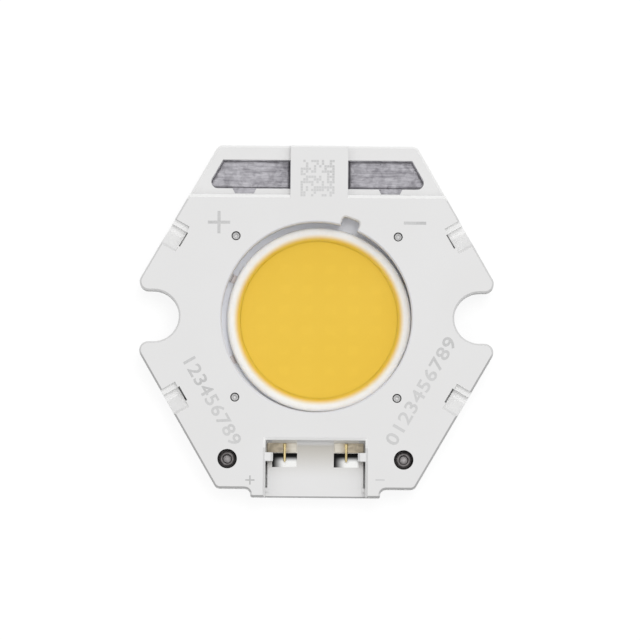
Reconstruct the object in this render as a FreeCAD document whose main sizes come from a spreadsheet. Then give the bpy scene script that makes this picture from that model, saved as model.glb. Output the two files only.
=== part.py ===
import FreeCAD, Part

import math
import os

import Sketcher

# A flat LED module, lying on its base plate. The origin is the centre of the hexagon on the
# underside, +Z points out of the emitting face, -Y to the plug port, +Y to the solder pads.
# Lengths are in millimetres and angles in degrees, counted from +X towards +Y.
SIZES = [
    # Outline, shared by the base plate and the housing
    ("across_flats", 20.2),
    ("outer_corner_radius", 0.4),
    ("lobe_radius", 0.52),
    ("screw_notch_setback", 2.062475),
    ("screw_notch_width", 3.0),
    ("tab_drop", 0.5),
    ("tab_root_radius", 0.35),
    ("tab_corner_radius", 0.12),
    # Base plate
    ("base_thickness", 1.0),
    ("base_inset", 0.08),
    ("base_edge_bevel", 0.1),
    # Light-emitting surface, with its centre a little beside the module's
    ("emitter_shift_x", 0.135),
    ("emitter_shift_y", -0.11),
    ("dam_outer_radius", 5.34),
    ("dam_width", 0.47),
    ("dam_height", 0.68),
    ("dam_crown_share", 0.3),
    ("phosphor_height", 0.37),
    ("meniscus_width", 0.42),
    ("meniscus_rise", 0.08),
    ("film_thickness", 0.05),
    ("film_margin", 0.08),
    ("trace_thickness", 0.05),
    ("trace_bare_width", 0.23),
    ("trace_setback", 0.14),
    ("trace_span", 150.0),
    ("tail_angle", 25.3),
    ("tail_width", 0.5),
    ("tail_reach", 0.55),
    # Chips and wires
    ("die_length", 0.6),
    ("die_width", 0.52),
    ("die_height", 0.15),
    ("die_end_gap", 1.495),
    ("die_row_gap", 1.87),
    ("wire_size", 0.03),
    ("wire_pad_inset", 0.1),
    ("wire_rise", 0.12),
    ("wire_landing_inset", 0.11),
    # Housing
    ("housing_height", 2.2),
    ("housing_edge_bevel", 0.1),
    ("window_clearance", 0.26),
    ("window_bevel", 0.08),
    ("thermo_notch_angle", 70.5),
    ("thermo_notch_width", 1.06),
    ("thermo_notch_depth", 0.55),
    ("thermo_notch_corner", 0.2),
    # Solder pad shelves and their windows, either side of a raised strip
    ("shelf_depth", 0.6),
    ("shelf_width", 2.9),
    ("shelf_bevel", 0.18),
    ("shelf_edge_bevel", 0.12),
    ("strip_left", 1.59),
    ("strip_right", 1.79),
    ("pad_window_upper_rim", 0.84),
    ("pad_window_lower_rim", 0.36),
    ("pad_rim", 0.65),
    ("pad_corner_radius", 0.4),
    ("wire_notch_inner", 3.6),
    ("wire_notch_outer", 5.0),
    ("wire_notch_depth", 0.29),
    ("wire_notch_run", 0.15),
    # Small round holes down to the lead frames
    ("pip_angle", 44.88),
    ("pip_arm_inset", 0.5817),
    ("pip_radius", 0.265),
    ("dimple_radius", 0.09),
    ("dimple_depth", 0.1),
    # Clip recesses, in from the slanted sides
    ("clip_reach", 0.98),
    ("clip_stop", 0.8),
    ("clip_ledge", 0.45),
    ("clip_ledge_depth", 0.4),
    ("clip_depth", 0.95),
    ("clip_floor_length", 0.4),
    ("clip_ramp_end", 0.9),
    ("clip_slit_width", 0.1),
    ("clip_slit_length", 0.95),
    ("clip_slit_depth", 1.35),
    # Plug port
    ("port_half_width", 2.94),
    ("port_wall", 0.88),
    ("port_depth", 2.86),
    ("port_bevel", 0.15),
    ("opening_inner", 1.08),
    ("opening_side_margin", 0.39),
    ("opening_setback", 0.74),
    ("opening_length", 0.84),
    ("nub_reach", 0.44),
    ("nub_length", 0.5),
    ("nub_drop", 0.12),
    ("nub_bevel", 0.14),
    ("slit_width", 0.12),
    ("slit_depth", 0.9),
    ("slit_front_inset", 0.55),
    ("stop_length", 0.24),
    ("stop_width", 0.2),
    ("stop_height", 0.1),
    # Lead frames
    ("lead_gap", 0.8),
    ("lead_thickness", 0.25),
    ("lead_overlap", 0.27),
    ("lead_arm_cover", 0.55),
    ("lead_arm_width", 1.1),
    ("lead_arm_start_angle", 54.0),
    ("lead_arm_end_angle", -75.0),
    ("lead_neck_sink", 1.15),
    ("lead_leg_sink", 0.15),
    ("foot_setback", 0.15),
    ("foot_lap", 0.35),
    ("foot_thickness", 0.2),
    ("foot_width", 0.5),
    ("foot_room", 0.15),
    # Solder joints between the feet and the trace tails
    ("joint_height", 0.15),
    ("joint_half_width", 0.24),
    ("joint_taper", 20.0),
    ("joint_margin", 0.03),
    # Port contacts
    ("contact_margin", 0.03),
    ("contact_depth", 0.55),
    ("contact_thickness", 0.15),
    ("pin_radius", 0.1),
    ("pin_reach", 0.54),
    ("pin_tip_bevel", 0.04),
    # Eyelets
    ("eyelet_port_gap", 1.37),
    ("eyelet_setback", 1.73),
    ("eyelet_bore_radius", 0.29),
    ("eyelet_wall", 0.12),
    ("eyelet_clearance", 0.02),
    ("eyelet_flange_width", 0.13),
    ("eyelet_flange_thickness", 0.16),
    ("eyelet_seat_height", 0.5),
    ("eyelet_lip_drop", 0.35),
    ("eyelet_lip_bevel", 0.04),
    ("eyelet_flare", 0.2),
    ("eyelet_flange_gap", 0.035),
    # Adhesive under the upper end of the housing
    ("adhesive_length", 9.0),
    ("adhesive_width", 1.1),
    ("adhesive_thickness", 0.1),
    ("adhesive_setback", 1.7),
]

COS30 = math.cos(math.radians(30))
SIN30 = math.sin(math.radians(30))
TAN30 = math.tan(math.radians(30))
DIES_IN_ROW = [4, 6, 6, 6, 6, 4]
NEAR = 1e-4


class Size:
    """A length with its present value and the sheet formula that gives it."""

    def __init__(self, value, formula):
        self.value = value
        self.formula = formula

    def __add__(self, other):
        return joined(self, "+", as_size(other))

    def __radd__(self, other):
        return joined(as_size(other), "+", self)

    def __sub__(self, other):
        return joined(self, "-", as_size(other))

    def __rsub__(self, other):
        return joined(as_size(other), "-", self)

    def __mul__(self, other):
        return joined(self, "*", as_size(other))

    def __rmul__(self, other):
        return joined(as_size(other), "*", self)

    def __truediv__(self, other):
        return joined(self, "/", as_size(other))

    def __neg__(self):
        return joined(as_size(-1), "*", self)


def as_size(item):
    if isinstance(item, Size):
        return item
    return Size(float(item), "({:.9f})".format(float(item)))


def joined(left, sign, right):
    results = {
        "+": left.value + right.value,
        "-": left.value - right.value,
        "*": left.value * right.value,
    }
    if sign == "/":
        value = left.value / right.value
    else:
        value = results[sign]
    return Size(value, "({} {} {})".format(left.formula, sign, right.formula))


def cosine(angle):
    angle = as_size(angle)
    return Size(math.cos(math.radians(angle.value)), "cos({})".format(angle.formula))


def sine(angle):
    angle = as_size(angle)
    return Size(math.sin(math.radians(angle.value)), "sin({})".format(angle.formula))


def make_sheet(document):
    """Put every driving dimension in a cell of its own, named by its alias."""
    sheet = document.addObject("Spreadsheet::Sheet", "sizes")
    for row, (alias, value) in enumerate(SIZES, start=1):
        sheet.set("A{}".format(row), alias)
        sheet.set("B{}".format(row), str(value))
        sheet.setAlias("B{}".format(row), alias)
    document.recompute()
    return sheet


class SheetReader:
    """Give each cell's size by its alias."""

    def __init__(self, sheet):
        self.sheet = sheet

    def __getattr__(self, alias):
        value = float(getattr(self.sheet, alias))
        return Size(value, "{}.{}".format(self.sheet.Name, alias))


document = FreeCAD.newDocument("cob_led")
cell = SheetReader(make_sheet(document))

# Heights
housing_top = cell.base_thickness + cell.housing_height
lead_bottom = cell.base_thickness + cell.lead_gap
lead_top = lead_bottom + cell.lead_thickness
shelf_top = housing_top - cell.shelf_depth
trace_bottom = cell.base_thickness + cell.film_thickness
trace_top = trace_bottom + cell.trace_thickness
foot_bottom = trace_top + cell.joint_height

# Radii, each from its neighbour further in; the window and the arms keep to the housing's centre
dam_inner_radius = cell.dam_outer_radius - cell.dam_width
trace_inner_radius = dam_inner_radius - cell.trace_bare_width
trace_outer_radius = cell.dam_outer_radius - cell.trace_setback
window_radius = cell.dam_outer_radius + cell.window_clearance
tail_end_radius = window_radius + cell.tail_reach
joint_centre_radius = tail_end_radius - cell.joint_margin - cell.joint_half_width
thermo_notch_reach = window_radius + cell.thermo_notch_depth
lead_arm_inner_radius = window_radius + cell.lead_arm_cover
lead_arm_outer_radius = lead_arm_inner_radius + cell.lead_arm_width
foot_inner_radius = window_radius + cell.foot_setback
foot_outer_radius = lead_arm_inner_radius + cell.foot_lap

# The outermost chips keep their gap to the dam
die_pitch_x = (dam_inner_radius - cell.die_end_gap) * 2 / (max(DIES_IN_ROW) - 1)
die_pitch_y = (dam_inner_radius - cell.die_row_gap) * 2 / (len(DIES_IN_ROW) - 1)

# Places counted inwards from the sides of the hexagon
flat = cell.across_flats / 2
tab_bottom = flat + cell.tab_drop
screw_notch_x = flat / COS30 - cell.screw_notch_setback
shelf_line = flat - cell.shelf_width
pad_window_top = flat - cell.pad_window_upper_rim
pad_window_bottom = shelf_line + cell.pad_window_lower_rim
adhesive_y = flat - cell.adhesive_setback

# Plug port and what stands beside it
port_back = flat - cell.port_depth
opening_outer = cell.port_half_width - cell.opening_side_margin
opening_back = port_back + cell.opening_setback
opening_front = opening_back + cell.opening_length
slit_front = tab_bottom - cell.slit_front_inset
tab_half_width = cell.port_half_width + cell.port_wall
eyelet_x = tab_half_width + cell.eyelet_port_gap
eyelet_y = flat - cell.eyelet_setback
eyelet_barrel_radius = cell.eyelet_bore_radius + cell.eyelet_wall
eyelet_flange_radius = eyelet_barrel_radius + cell.eyelet_flange_width
counterbore_radius = eyelet_flange_radius + cell.eyelet_flange_gap


def bind(item, path, size):
    """Tie one property of a document object to the sheet."""
    item.setExpression(path, size.formula)


def set_bound(item, name, size):
    setattr(item, name, size.value)
    bind(item, name, size)


def new_body(label, shift_x=None, shift_y=None):
    """Start a body, moved sideways by named sizes where it has a centre of its own."""
    body = document.addObject("PartDesign::Body", label)
    body.Label = label
    if shift_x is not None:
        body.Placement.Base = FreeCAD.Vector(shift_x.value, shift_y.value, 0)
        bind(body, "Placement.Base.x", shift_x)
        bind(body, "Placement.Base.y", shift_y)
    return body


def attached_sketch(body, name, role, offset, axis, angle):
    """A sketch on one of the body's origin planes, shifted and turned in that plane's frame."""
    sketch = body.newObject("Sketcher::SketchObject", name)
    plane = [item for item in body.Origin.OriginFeatures if item.Role == role][0]
    sketch.AttachmentSupport = [(plane, "")]
    sketch.MapMode = "FlatFace"
    turn = as_size(angle)
    shifts = [as_size(item) for item in offset]
    place = FreeCAD.Vector(*[item.value for item in shifts])
    rotation = FreeCAD.Rotation(FreeCAD.Vector(*axis), turn.value)
    sketch.AttachmentOffset = FreeCAD.Placement(place, rotation)
    for letter, shift in zip("xyz", shifts):
        if "sizes" in shift.formula:
            bind(sketch, "AttachmentOffset.Base." + letter, shift)
    if "sizes" in turn.formula and abs(turn.value) > NEAR:
        bind(sketch, "AttachmentOffset.Rotation.Angle", turn)
    return sketch


def flat_sketch(body, name, height, angle=0, shift=(0, 0)):
    """A level sketch at one height, its x axis turned about Z."""
    return attached_sketch(body, name, "XY_Plane", (shift[0], shift[1], height), (0, 0, 1), angle)


def upright_sketch(body, name, angle=0, shift=(0, 0)):
    """A standing sketch through the Z axis: x runs outwards at the angle, y runs up."""
    return attached_sketch(body, name, "XZ_Plane", (shift[0], 0, -shift[1]), (0, 1, 0), angle)


def side_sketch(body, name, angle, distance):
    """A standing sketch that faces outwards: x runs along the side, y runs up."""
    turn = math.radians(angle)
    offset = (distance * math.sin(turn), 0, distance * math.cos(turn))
    return attached_sketch(body, name, "YZ_Plane", offset, (0, 1, 0), angle)


def pin_point(sketch, geometry, point, x, y):
    """Hold one sketch point at bound distances from the sketch's origin."""
    for kind, size in (("DistanceX", as_size(x)), ("DistanceY", as_size(y))):
        rule = Sketcher.Constraint(kind, -1, 1, geometry, point, size.value)
        index = sketch.addConstraint(rule)
        if "sizes" in size.formula:
            bind(sketch, "Constraints[{}]".format(index), size)


def draw_polygon(sketch, corners):
    """Draw a closed outline of straight lines with every corner held."""
    corners = [(as_size(x), as_size(y)) for x, y in corners]
    points = [FreeCAD.Vector(x.value, y.value, 0) for x, y in corners]
    first = sketch.GeometryCount
    for start, end in zip(points, points[1:] + points[:1]):
        sketch.addGeometry(Part.LineSegment(start, end), False)
    for step, (x, y) in enumerate(corners):
        line = first + step
        following = first + (step + 1) % len(corners)
        sketch.addConstraint(Sketcher.Constraint("Coincident", line, 2, following, 1))
        pin_point(sketch, line, 1, x, y)


def draw_rectangle(sketch, left, right, bottom, top):
    draw_polygon(sketch, [(left, bottom), (right, bottom), (right, top), (left, top)])


def draw_turned_rectangle(sketch, angle, sides, ends, shift=(0, 0)):
    """A rectangle whose length runs outwards at an angle from the shifted centre."""
    inside, outside = sides
    right, left = ends
    along, across = cosine(angle), sine(angle)
    corners = []
    for reach, side in ((inside, right), (outside, right), (outside, left), (inside, left)):
        x = reach * along - side * across + shift[0]
        y = reach * across + side * along + shift[1]
        corners.append((x, y))
    draw_polygon(sketch, corners)


def draw_circle(sketch, x, y, radius):
    centre = FreeCAD.Vector(as_size(x).value, as_size(y).value, 0)
    circle = Part.Circle(centre, FreeCAD.Vector(0, 0, 1), radius.value)
    geometry = sketch.addGeometry(circle, False)
    pin_point(sketch, geometry, 3, x, y)
    index = sketch.addConstraint(Sketcher.Constraint("Radius", geometry, radius.value))
    bind(sketch, "Constraints[{}]".format(index), radius)


def volume_of(body):
    return 0.0 if body.Shape.isNull() else body.Shape.Volume


def finish_feature(body, feature, grows, before):
    """Recompute and make sure that the feature did add or take material."""
    document.recompute()
    change = feature.Shape.Volume - before
    if grows * change < 1e-7:
        raise RuntimeError("{} changed {} by {:.6f}".format(feature.Name, body.Label, change))
    return feature


def pad(body, sketch, length, both_ways=False):
    before = volume_of(body)
    feature = body.newObject("PartDesign::Pad", sketch.Label + "_pad")
    feature.Profile = sketch
    if both_ways:
        feature.SideType = "Symmetric"
    set_bound(feature, "Length", length)
    return finish_feature(body, feature, 1, before)


def pocket(body, sketch, depth=None, forwards=False):
    """Cut against the sketch's normal, or along it; with no depth, right through."""
    before = volume_of(body)
    feature = body.newObject("PartDesign::Pocket", sketch.Label + "_pocket")
    feature.Profile = sketch
    feature.Reversed = forwards
    if depth is None:
        feature.Type = "ThroughAll"
    else:
        set_bound(feature, "Length", depth)
    return finish_feature(body, feature, -1, before)


def revolve(body, sketch, angle=360):
    before = volume_of(body)
    feature = body.newObject("PartDesign::Revolution", sketch.Label + "_turned")
    feature.Profile = sketch
    feature.ReferenceAxis = (sketch, ["V_Axis"])
    turn = as_size(angle)
    feature.Angle = turn.value
    if "sizes" in turn.formula:
        bind(feature, "Angle", turn)
    return finish_feature(body, feature, 1, before)


def chosen_edges(body, wanted):
    edges = body.Shape.Edges
    return ["Edge{}".format(step + 1) for step, edge in enumerate(edges) if wanted(edge)]


def dress_edges(body, kind, name, size, wanted):
    """Round or bevel the edges that the test picks."""
    names = chosen_edges(body, wanted)
    if not names:
        raise RuntimeError("{} found no edges on {}".format(name, body.Label))
    feature = body.newObject("PartDesign::" + kind, name)
    feature.Base = (feature.BaseFeature, names)
    set_bound(feature, "Radius" if kind == "Fillet" else "Size", size)
    document.recompute()
    return feature


def stands_at(places):
    """Pick upright edges at given places in plan."""
    spots = [(as_size(x).value, as_size(y).value) for x, y in places]

    def wanted(edge):
        ends = [vertex.Point for vertex in edge.Vertexes]
        if len(ends) != 2 or abs(ends[0].z - ends[1].z) < NEAR:
            return False
        flat_gap = math.hypot(ends[0].x - ends[1].x, ends[0].y - ends[1].y)
        if flat_gap > NEAR:
            return False
        return any(math.hypot(ends[0].x - x, ends[0].y - y) < 1e-3 for x, y in spots)

    return wanted


def lies_level(height, inside):
    """Pick level edges at one height whose middle passes a further test in plan."""

    def wanted(edge):
        box = edge.BoundBox
        if abs(box.ZMin - height.value) > NEAR or abs(box.ZMax - height.value) > NEAR:
            return False
        middle = edge.valueAt((edge.FirstParameter + edge.LastParameter) / 2)
        return inside(middle)

    return wanted


def hexagon_reach(point):
    """The point's distance from the centre, measured square to the nearest side."""
    x, y = abs(point.x), abs(point.y)
    return max(y, x * COS30 + y * SIN30)


def slant_x(distance, y):
    """Where a line, parallel to a slanted side and that far from the centre, has this y."""
    return (distance - SIN30 * y) / COS30


def both_sides(places):
    return [(sign * x, y) for x, y in places for sign in (1, -1)]


def draw_outline(body, bottom, thickness, inset):
    """The hexagon with the port's tab and the two open screw notches."""
    reach = flat - inset
    notch_radius = cell.screw_notch_width / 2 + inset
    notch_x = screw_notch_x
    corner_x = reach * TAN30
    side_x = reach / COS30
    tab_x = tab_half_width - inset
    top = bottom + thickness

    hexagon = flat_sketch(body, body.Label + "_hexagon", bottom)
    draw_polygon(hexagon, [
        (side_x, 0), (corner_x, reach), (-corner_x, reach),
        (-side_x, 0), (-corner_x, -reach), (corner_x, -reach),
    ])
    pad(body, hexagon, thickness)
    tab = flat_sketch(body, body.Label + "_tab", bottom)
    draw_rectangle(tab, -tab_x, tab_x, inset - tab_bottom, -reach / 2)
    pad(body, tab, thickness)
    notch_ends = flat_sketch(body, body.Label + "_notch_ends", top)
    notch_mouths = flat_sketch(body, body.Label + "_notch_mouths", top)
    for sign in (1, -1):
        draw_circle(notch_ends, sign * notch_x, 0, notch_radius)
        outside = sign * (side_x + notch_radius)
        draw_rectangle(notch_mouths, sign * notch_x, outside, -notch_radius, notch_radius)
    pocket(body, notch_ends)
    pocket(body, notch_mouths)

    corners = both_sides([(corner_x, reach), (corner_x, -reach)])
    lobes = both_sides([
        (slant_x(reach, notch_radius), notch_radius),
        (slant_x(reach, notch_radius), -notch_radius),
    ])
    name = body.Label
    dress_edges(body, "Fillet", name + "_corners", cell.outer_corner_radius, stands_at(corners))
    dress_edges(body, "Fillet", name + "_lobes", cell.lobe_radius, stands_at(lobes))
    roots = stands_at(both_sides([(tab_x, -reach)]))
    dress_edges(body, "Fillet", name + "_tab_roots", cell.tab_root_radius, roots)
    tips = stands_at(both_sides([(tab_x, inset - tab_bottom)]))
    dress_edges(body, "Fillet", name + "_tab_tips", cell.tab_corner_radius, tips)


def eyelet_circles(sketch, radius):
    for sign in (1, -1):
        draw_circle(sketch, sign * eyelet_x, -eyelet_y, radius)


def near_eyelet(point):
    x = abs(point.x) - eyelet_x.value
    y = point.y + eyelet_y.value
    return math.hypot(x, y) < counterbore_radius.value + cell.eyelet_flare.value


def make_base_plate():
    """Stamped aluminium plate with two countersunk holes for the eyelets."""
    body = new_body("base_plate")
    draw_outline(body, as_size(0), cell.base_thickness, cell.base_inset)
    holes = flat_sketch(body, "plate_eyelet_holes", cell.base_thickness)
    eyelet_circles(holes, eyelet_barrel_radius + cell.eyelet_clearance)
    pocket(body, holes)
    countersinks = lies_level(as_size(0), near_eyelet)
    flare = cell.eyelet_flare + cell.eyelet_clearance
    dress_edges(body, "Chamfer", "plate_countersinks", flare, countersinks)
    rim = lies_level(as_size(0), lambda point: not near_eyelet(point))
    dress_edges(body, "Chamfer", "plate_edge", cell.base_edge_bevel, rim)
    return body


def emitter_body(label):
    return new_body(label, cell.emitter_shift_x, cell.emitter_shift_y)


def tail_angles():
    """The four trace tails: two a little above and below each end of the X axis."""
    turn = cell.tail_angle
    return [turn, -turn, 180 - turn, 180 + turn]


def make_dielectric_film():
    """Insulating ring under the traces, with a wider tongue under each tail."""
    body = emitter_body("dielectric_film")
    ring = flat_sketch(body, "film_ring", cell.base_thickness)
    draw_circle(ring, 0, 0, trace_outer_radius + cell.film_margin)
    draw_circle(ring, 0, 0, trace_inner_radius - cell.film_margin)
    pad(body, ring, cell.film_thickness)
    tongues = flat_sketch(body, "film_tongues", cell.base_thickness)
    half = cell.tail_width / 2 + cell.film_margin
    sides = (trace_outer_radius, tail_end_radius + cell.film_margin)
    for angle in tail_angles():
        draw_turned_rectangle(tongues, angle, sides, (-half, half))
    pad(body, tongues, cell.film_thickness)
    return body


def make_trace(label, facing):
    """Copper arc under the dam, centred on one side, with two tails running outwards."""
    body = emitter_body(label)
    arc = upright_sketch(body, label + "_arc", facing - cell.trace_span / 2)
    inner, outer = trace_inner_radius, trace_outer_radius
    draw_rectangle(arc, inner, outer, trace_bottom, trace_top)
    revolve(body, arc, cell.trace_span)
    tails = flat_sketch(body, label + "_tails", trace_bottom)
    sides = ((inner + outer) / 2, tail_end_radius)
    half = cell.tail_width / 2
    for angle in (facing + cell.tail_angle, facing - cell.tail_angle):
        draw_turned_rectangle(tails, angle, sides, (-half, half))
    pad(body, tails, cell.trace_thickness)
    return body


def die_rows():
    """Yield each row's y and the x of every die in it, about the emitter's centre."""
    rows = len(DIES_IN_ROW)
    for row, count in enumerate(DIES_IN_ROW):
        y = (row - (rows - 1) / 2) * die_pitch_y.value
        places = [(step - (count - 1) / 2) * die_pitch_x.value for step in range(count)]
        yield y, places


def group_feature(label, solids):
    """Several equal solids as one named piece, moved to the emitter's centre."""
    feature = document.addObject("Part::Feature", label)
    feature.Label = label
    feature.Shape = Part.makeCompound(solids)
    feature.Placement.Base = FreeCAD.Vector(cell.emitter_shift_x.value, cell.emitter_shift_y.value, 0)
    return feature


def make_dies():
    length, width = cell.die_length.value, cell.die_width.value
    height, floor = cell.die_height.value, cell.base_thickness.value
    chips = []
    for y, places in die_rows():
        for x in places:
            corner = FreeCAD.Vector(x - length / 2, y - width / 2, floor)
            chips.append(Part.makeBox(length, width, height, corner))
    return group_feature("led_dies", chips)


def wire_loop(start, end, y, crest):
    """One bond wire as a square band: up from its first foot, across and down again."""
    size, rise = cell.wire_size.value, cell.wire_rise.value
    (start_x, start_z), (end_x, end_z) = start, end
    side = y - size / 2
    path = [
        (start_x, start_z), (start_x + rise, crest), (end_x - rise, crest),
        (end_x, end_z), (end_x - rise / 2, crest + size), (start_x + rise / 2, crest + size),
    ]
    points = [FreeCAD.Vector(x, side, z) for x, z in path]
    face = Part.Face(Part.makePolygon(points + points[:1]))
    return face.extrude(FreeCAD.Vector(0, size, 0))


def make_bond_wires():
    """Each row's wires: left trace, from die to die, right trace."""
    die_top = cell.base_thickness.value + cell.die_height.value
    crest = die_top + cell.wire_rise.value
    pad_x = cell.die_length.value / 2 - cell.wire_pad_inset.value
    landing_radius = (dam_inner_radius - cell.wire_landing_inset).value
    wires = []
    for y, places in die_rows():
        landing_x = math.sqrt(landing_radius ** 2 - y ** 2)
        feet = [(-landing_x, trace_top.value)]
        for x in places:
            feet += [(x - pad_x, die_top), (x + pad_x, die_top)]
        feet.append((landing_x, trace_top.value))
        for start, end in zip(feet[::2], feet[1::2]):
            wires.append(wire_loop(start, end, y, crest))
    return group_feature("bond_wires", wires)


def without(label, blank, tools):
    """The blank with the shapes of its neighbours taken out of it."""
    neighbours = document.addObject("Part::Compound", label + "_neighbours")
    neighbours.Links = tools
    cut = document.addObject("Part::Cut", label)
    cut.Label = label
    cut.Base = blank
    cut.Tool = neighbours
    document.recompute()
    return cut


def make_dam_ring(neighbours):
    """Bead of silicone with a narrow crown, laid over the traces."""
    body = emitter_body("dam_blank")
    profile = upright_sketch(body, "dam_profile")
    crown = cell.base_thickness + cell.dam_height
    draw_rectangle(profile, dam_inner_radius, cell.dam_outer_radius, cell.base_thickness, crown)
    revolve(body, profile)
    top_edges = lies_level(crown, lambda point: True)
    dress_edges(body, "Chamfer", "dam_crown", cell.dam_width * cell.dam_crown_share, top_edges)
    return without("dam_ring", body, neighbours)


def make_phosphor_fill(neighbours):
    """Disc of filled silicone whose surface climbs a little at the dam."""
    body = emitter_body("phosphor_blank")
    level = cell.base_thickness + cell.phosphor_height
    foot_x = dam_inner_radius - cell.meniscus_width
    rim = level + cell.meniscus_rise
    profile = upright_sketch(body, "phosphor_profile")
    draw_polygon(profile, [
        (0, cell.base_thickness), (dam_inner_radius, cell.base_thickness),
        (dam_inner_radius, rim), (foot_x, level), (0, level),
    ])
    revolve(body, profile)
    return without("phosphor_fill", body, neighbours)


def lead_sides():
    """Each pole's name, its side of the Y axis and where its strip edge is."""
    return [("positive", -1, cell.strip_left), ("negative", 1, cell.strip_right)]


def pip_place(sign, up):
    """Centre of one of the four small holes over the lead frames' arms."""
    reach = lead_arm_inner_radius + cell.pip_arm_inset
    return sign * reach * cosine(cell.pip_angle), up * reach * sine(cell.pip_angle)


def make_lead_frame(pole, sign, strip_edge):
    """Stamped strip: solder pad, arm round the window, port leg and two feet bent down."""
    body = new_body("lead_frame_" + pole)
    inner = strip_edge - cell.lead_overlap
    high = pad_window_top + cell.lead_overlap
    low = pad_window_bottom - cell.wire_notch_depth - cell.lead_overlap
    outside = flat - cell.pad_rim + cell.lead_overlap
    plate = flat_sketch(body, pole + "_pad_plate", lead_bottom)
    draw_polygon(plate, [
        (sign * inner, low), (sign * slant_x(outside, low), low),
        (sign * slant_x(outside, high), high), (sign * inner, high),
    ])
    pad(body, plate, cell.lead_thickness)
    neck = flat_sketch(body, pole + "_neck", lead_bottom)
    neck_sides = (sign * cell.wire_notch_inner, sign * cell.wire_notch_outer)
    draw_rectangle(neck, *neck_sides, lead_arm_inner_radius - cell.lead_neck_sink, pad_window_bottom)
    pad(body, neck, cell.lead_thickness)

    span = cell.lead_arm_start_angle - cell.lead_arm_end_angle
    start = cell.lead_arm_end_angle if sign > 0 else 180 - cell.lead_arm_start_angle
    arm = upright_sketch(body, pole + "_arm", start)
    draw_rectangle(arm, lead_arm_inner_radius, lead_arm_outer_radius, lead_bottom, lead_top)
    revolve(body, arm, span)
    leg = flat_sketch(body, pole + "_leg", lead_bottom)
    leg_sides = (sign * cell.opening_inner, sign * opening_outer)
    leg_top = lead_arm_inner_radius + cell.lead_leg_sink
    draw_rectangle(leg, *leg_sides, -opening_back, -leg_top)
    pad(body, leg, cell.lead_thickness)

    facing = as_size(0 if sign > 0 else 180)
    shift = (cell.emitter_shift_x, cell.emitter_shift_y)
    inside, outside = foot_inner_radius, foot_outer_radius
    heel = foot_bottom + cell.foot_thickness
    for step, angle in enumerate((facing + cell.tail_angle, facing - cell.tail_angle)):
        foot = upright_sketch(body, "{}_foot_{}".format(pole, step + 1), angle, shift)
        draw_polygon(foot, [
            (inside, foot_bottom), (outside, foot_bottom), (outside, lead_top),
            (outside - cell.foot_thickness, lead_top),
            (outside - cell.foot_thickness, heel), (inside, heel),
        ])
        pad(body, foot, cell.foot_width, both_ways=True)
    dimples = flat_sketch(body, pole + "_dimples", lead_top)
    for up in (1, -1):
        draw_circle(dimples, *pip_place(sign, up), cell.dimple_radius)
    pocket(body, dimples, cell.dimple_depth)
    return body


def cut_light_window(body):
    """Round window over the emitter, with the thermocouple notch in its rim."""
    window = flat_sketch(body, "light_window", housing_top)
    draw_circle(window, 0, 0, window_radius)
    pocket(body, window)
    notch = flat_sketch(body, "thermo_notch", housing_top, cell.thermo_notch_angle)
    half = cell.thermo_notch_width / 2
    draw_rectangle(notch, window_radius / 2, thermo_notch_reach, -half, half)
    pocket(body, notch)
    turn = math.radians(cell.thermo_notch_angle.value)
    reach, side = thermo_notch_reach.value, half.value
    corners = []
    for across in (side, -side):
        x = reach * math.cos(turn) - across * math.sin(turn)
        y = reach * math.sin(turn) + across * math.cos(turn)
        corners.append((x, y))
    rounding = cell.thermo_notch_corner
    dress_edges(body, "Fillet", "thermo_notch_corners", rounding, stands_at(corners))
    rim_reach = reach + side
    rim = lies_level(housing_top, lambda point: math.hypot(point.x, point.y) < rim_reach)
    dress_edges(body, "Chamfer", "window_edge", cell.window_bevel, rim)


def cut_pad_shelves(body):
    """Lowered corners either side of the strip, each with a window over its solder pad."""
    beyond = flat + cell.shelf_depth
    shelves = flat_sketch(body, "pad_shelves", housing_top)
    for pole, sign, strip_edge in lead_sides():
        far = sign * flat
        draw_rectangle(shelves, sign * strip_edge, far, shelf_line, beyond)
    pocket(body, shelves, cell.shelf_depth)
    line = shelf_line.value
    wall = lies_level(housing_top, lambda point: abs(point.y - line) < NEAR)
    dress_edges(body, "Chamfer", "shelf_wall_bevel", cell.shelf_bevel, wall)
    rim = flat.value - cell.outer_corner_radius.value
    outside = lies_level(shelf_top, lambda point: hexagon_reach(point) > rim)
    dress_edges(body, "Chamfer", "shelf_edge", cell.shelf_edge_bevel, outside)

    slant = flat - cell.pad_rim
    low, high = pad_window_bottom, pad_window_top
    notch_low = low - cell.wire_notch_depth
    notch_sides = (cell.wire_notch_inner, cell.wire_notch_outer)
    corners = []
    windows = flat_sketch(body, "pad_windows", shelf_top)
    for pole, sign, strip_edge in lead_sides():
        draw_polygon(windows, [
            (sign * strip_edge, low), (sign * notch_sides[0], low),
            (sign * (notch_sides[0] + cell.wire_notch_run), notch_low),
            (sign * (notch_sides[1] - cell.wire_notch_run), notch_low),
            (sign * notch_sides[1], low), (sign * slant_x(slant, low), low),
            (sign * slant_x(slant, high), high), (sign * strip_edge, high),
        ])
        corners.append((sign * slant_x(slant, low), low))
    pocket(body, windows, shelf_top - lead_top)
    rounding = cell.pad_corner_radius
    dress_edges(body, "Fillet", "pad_window_corners", rounding, stands_at(corners))


def cut_round_holes(body):
    """Four small holes down to the lead frames and the eyelets' stepped holes."""
    pips = flat_sketch(body, "lead_view_holes", housing_top)
    for sign in (1, -1):
        for up in (1, -1):
            draw_circle(pips, *pip_place(sign, up), cell.pip_radius)
    pocket(body, pips, housing_top - lead_top + cell.dimple_depth)
    counterbores = flat_sketch(body, "eyelet_counterbores", housing_top)
    eyelet_circles(counterbores, counterbore_radius)
    pocket(body, counterbores, cell.housing_height - cell.eyelet_seat_height)
    holes = flat_sketch(body, "housing_eyelet_holes", housing_top)
    eyelet_circles(holes, eyelet_barrel_radius + cell.eyelet_clearance)
    pocket(body, holes)


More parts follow.
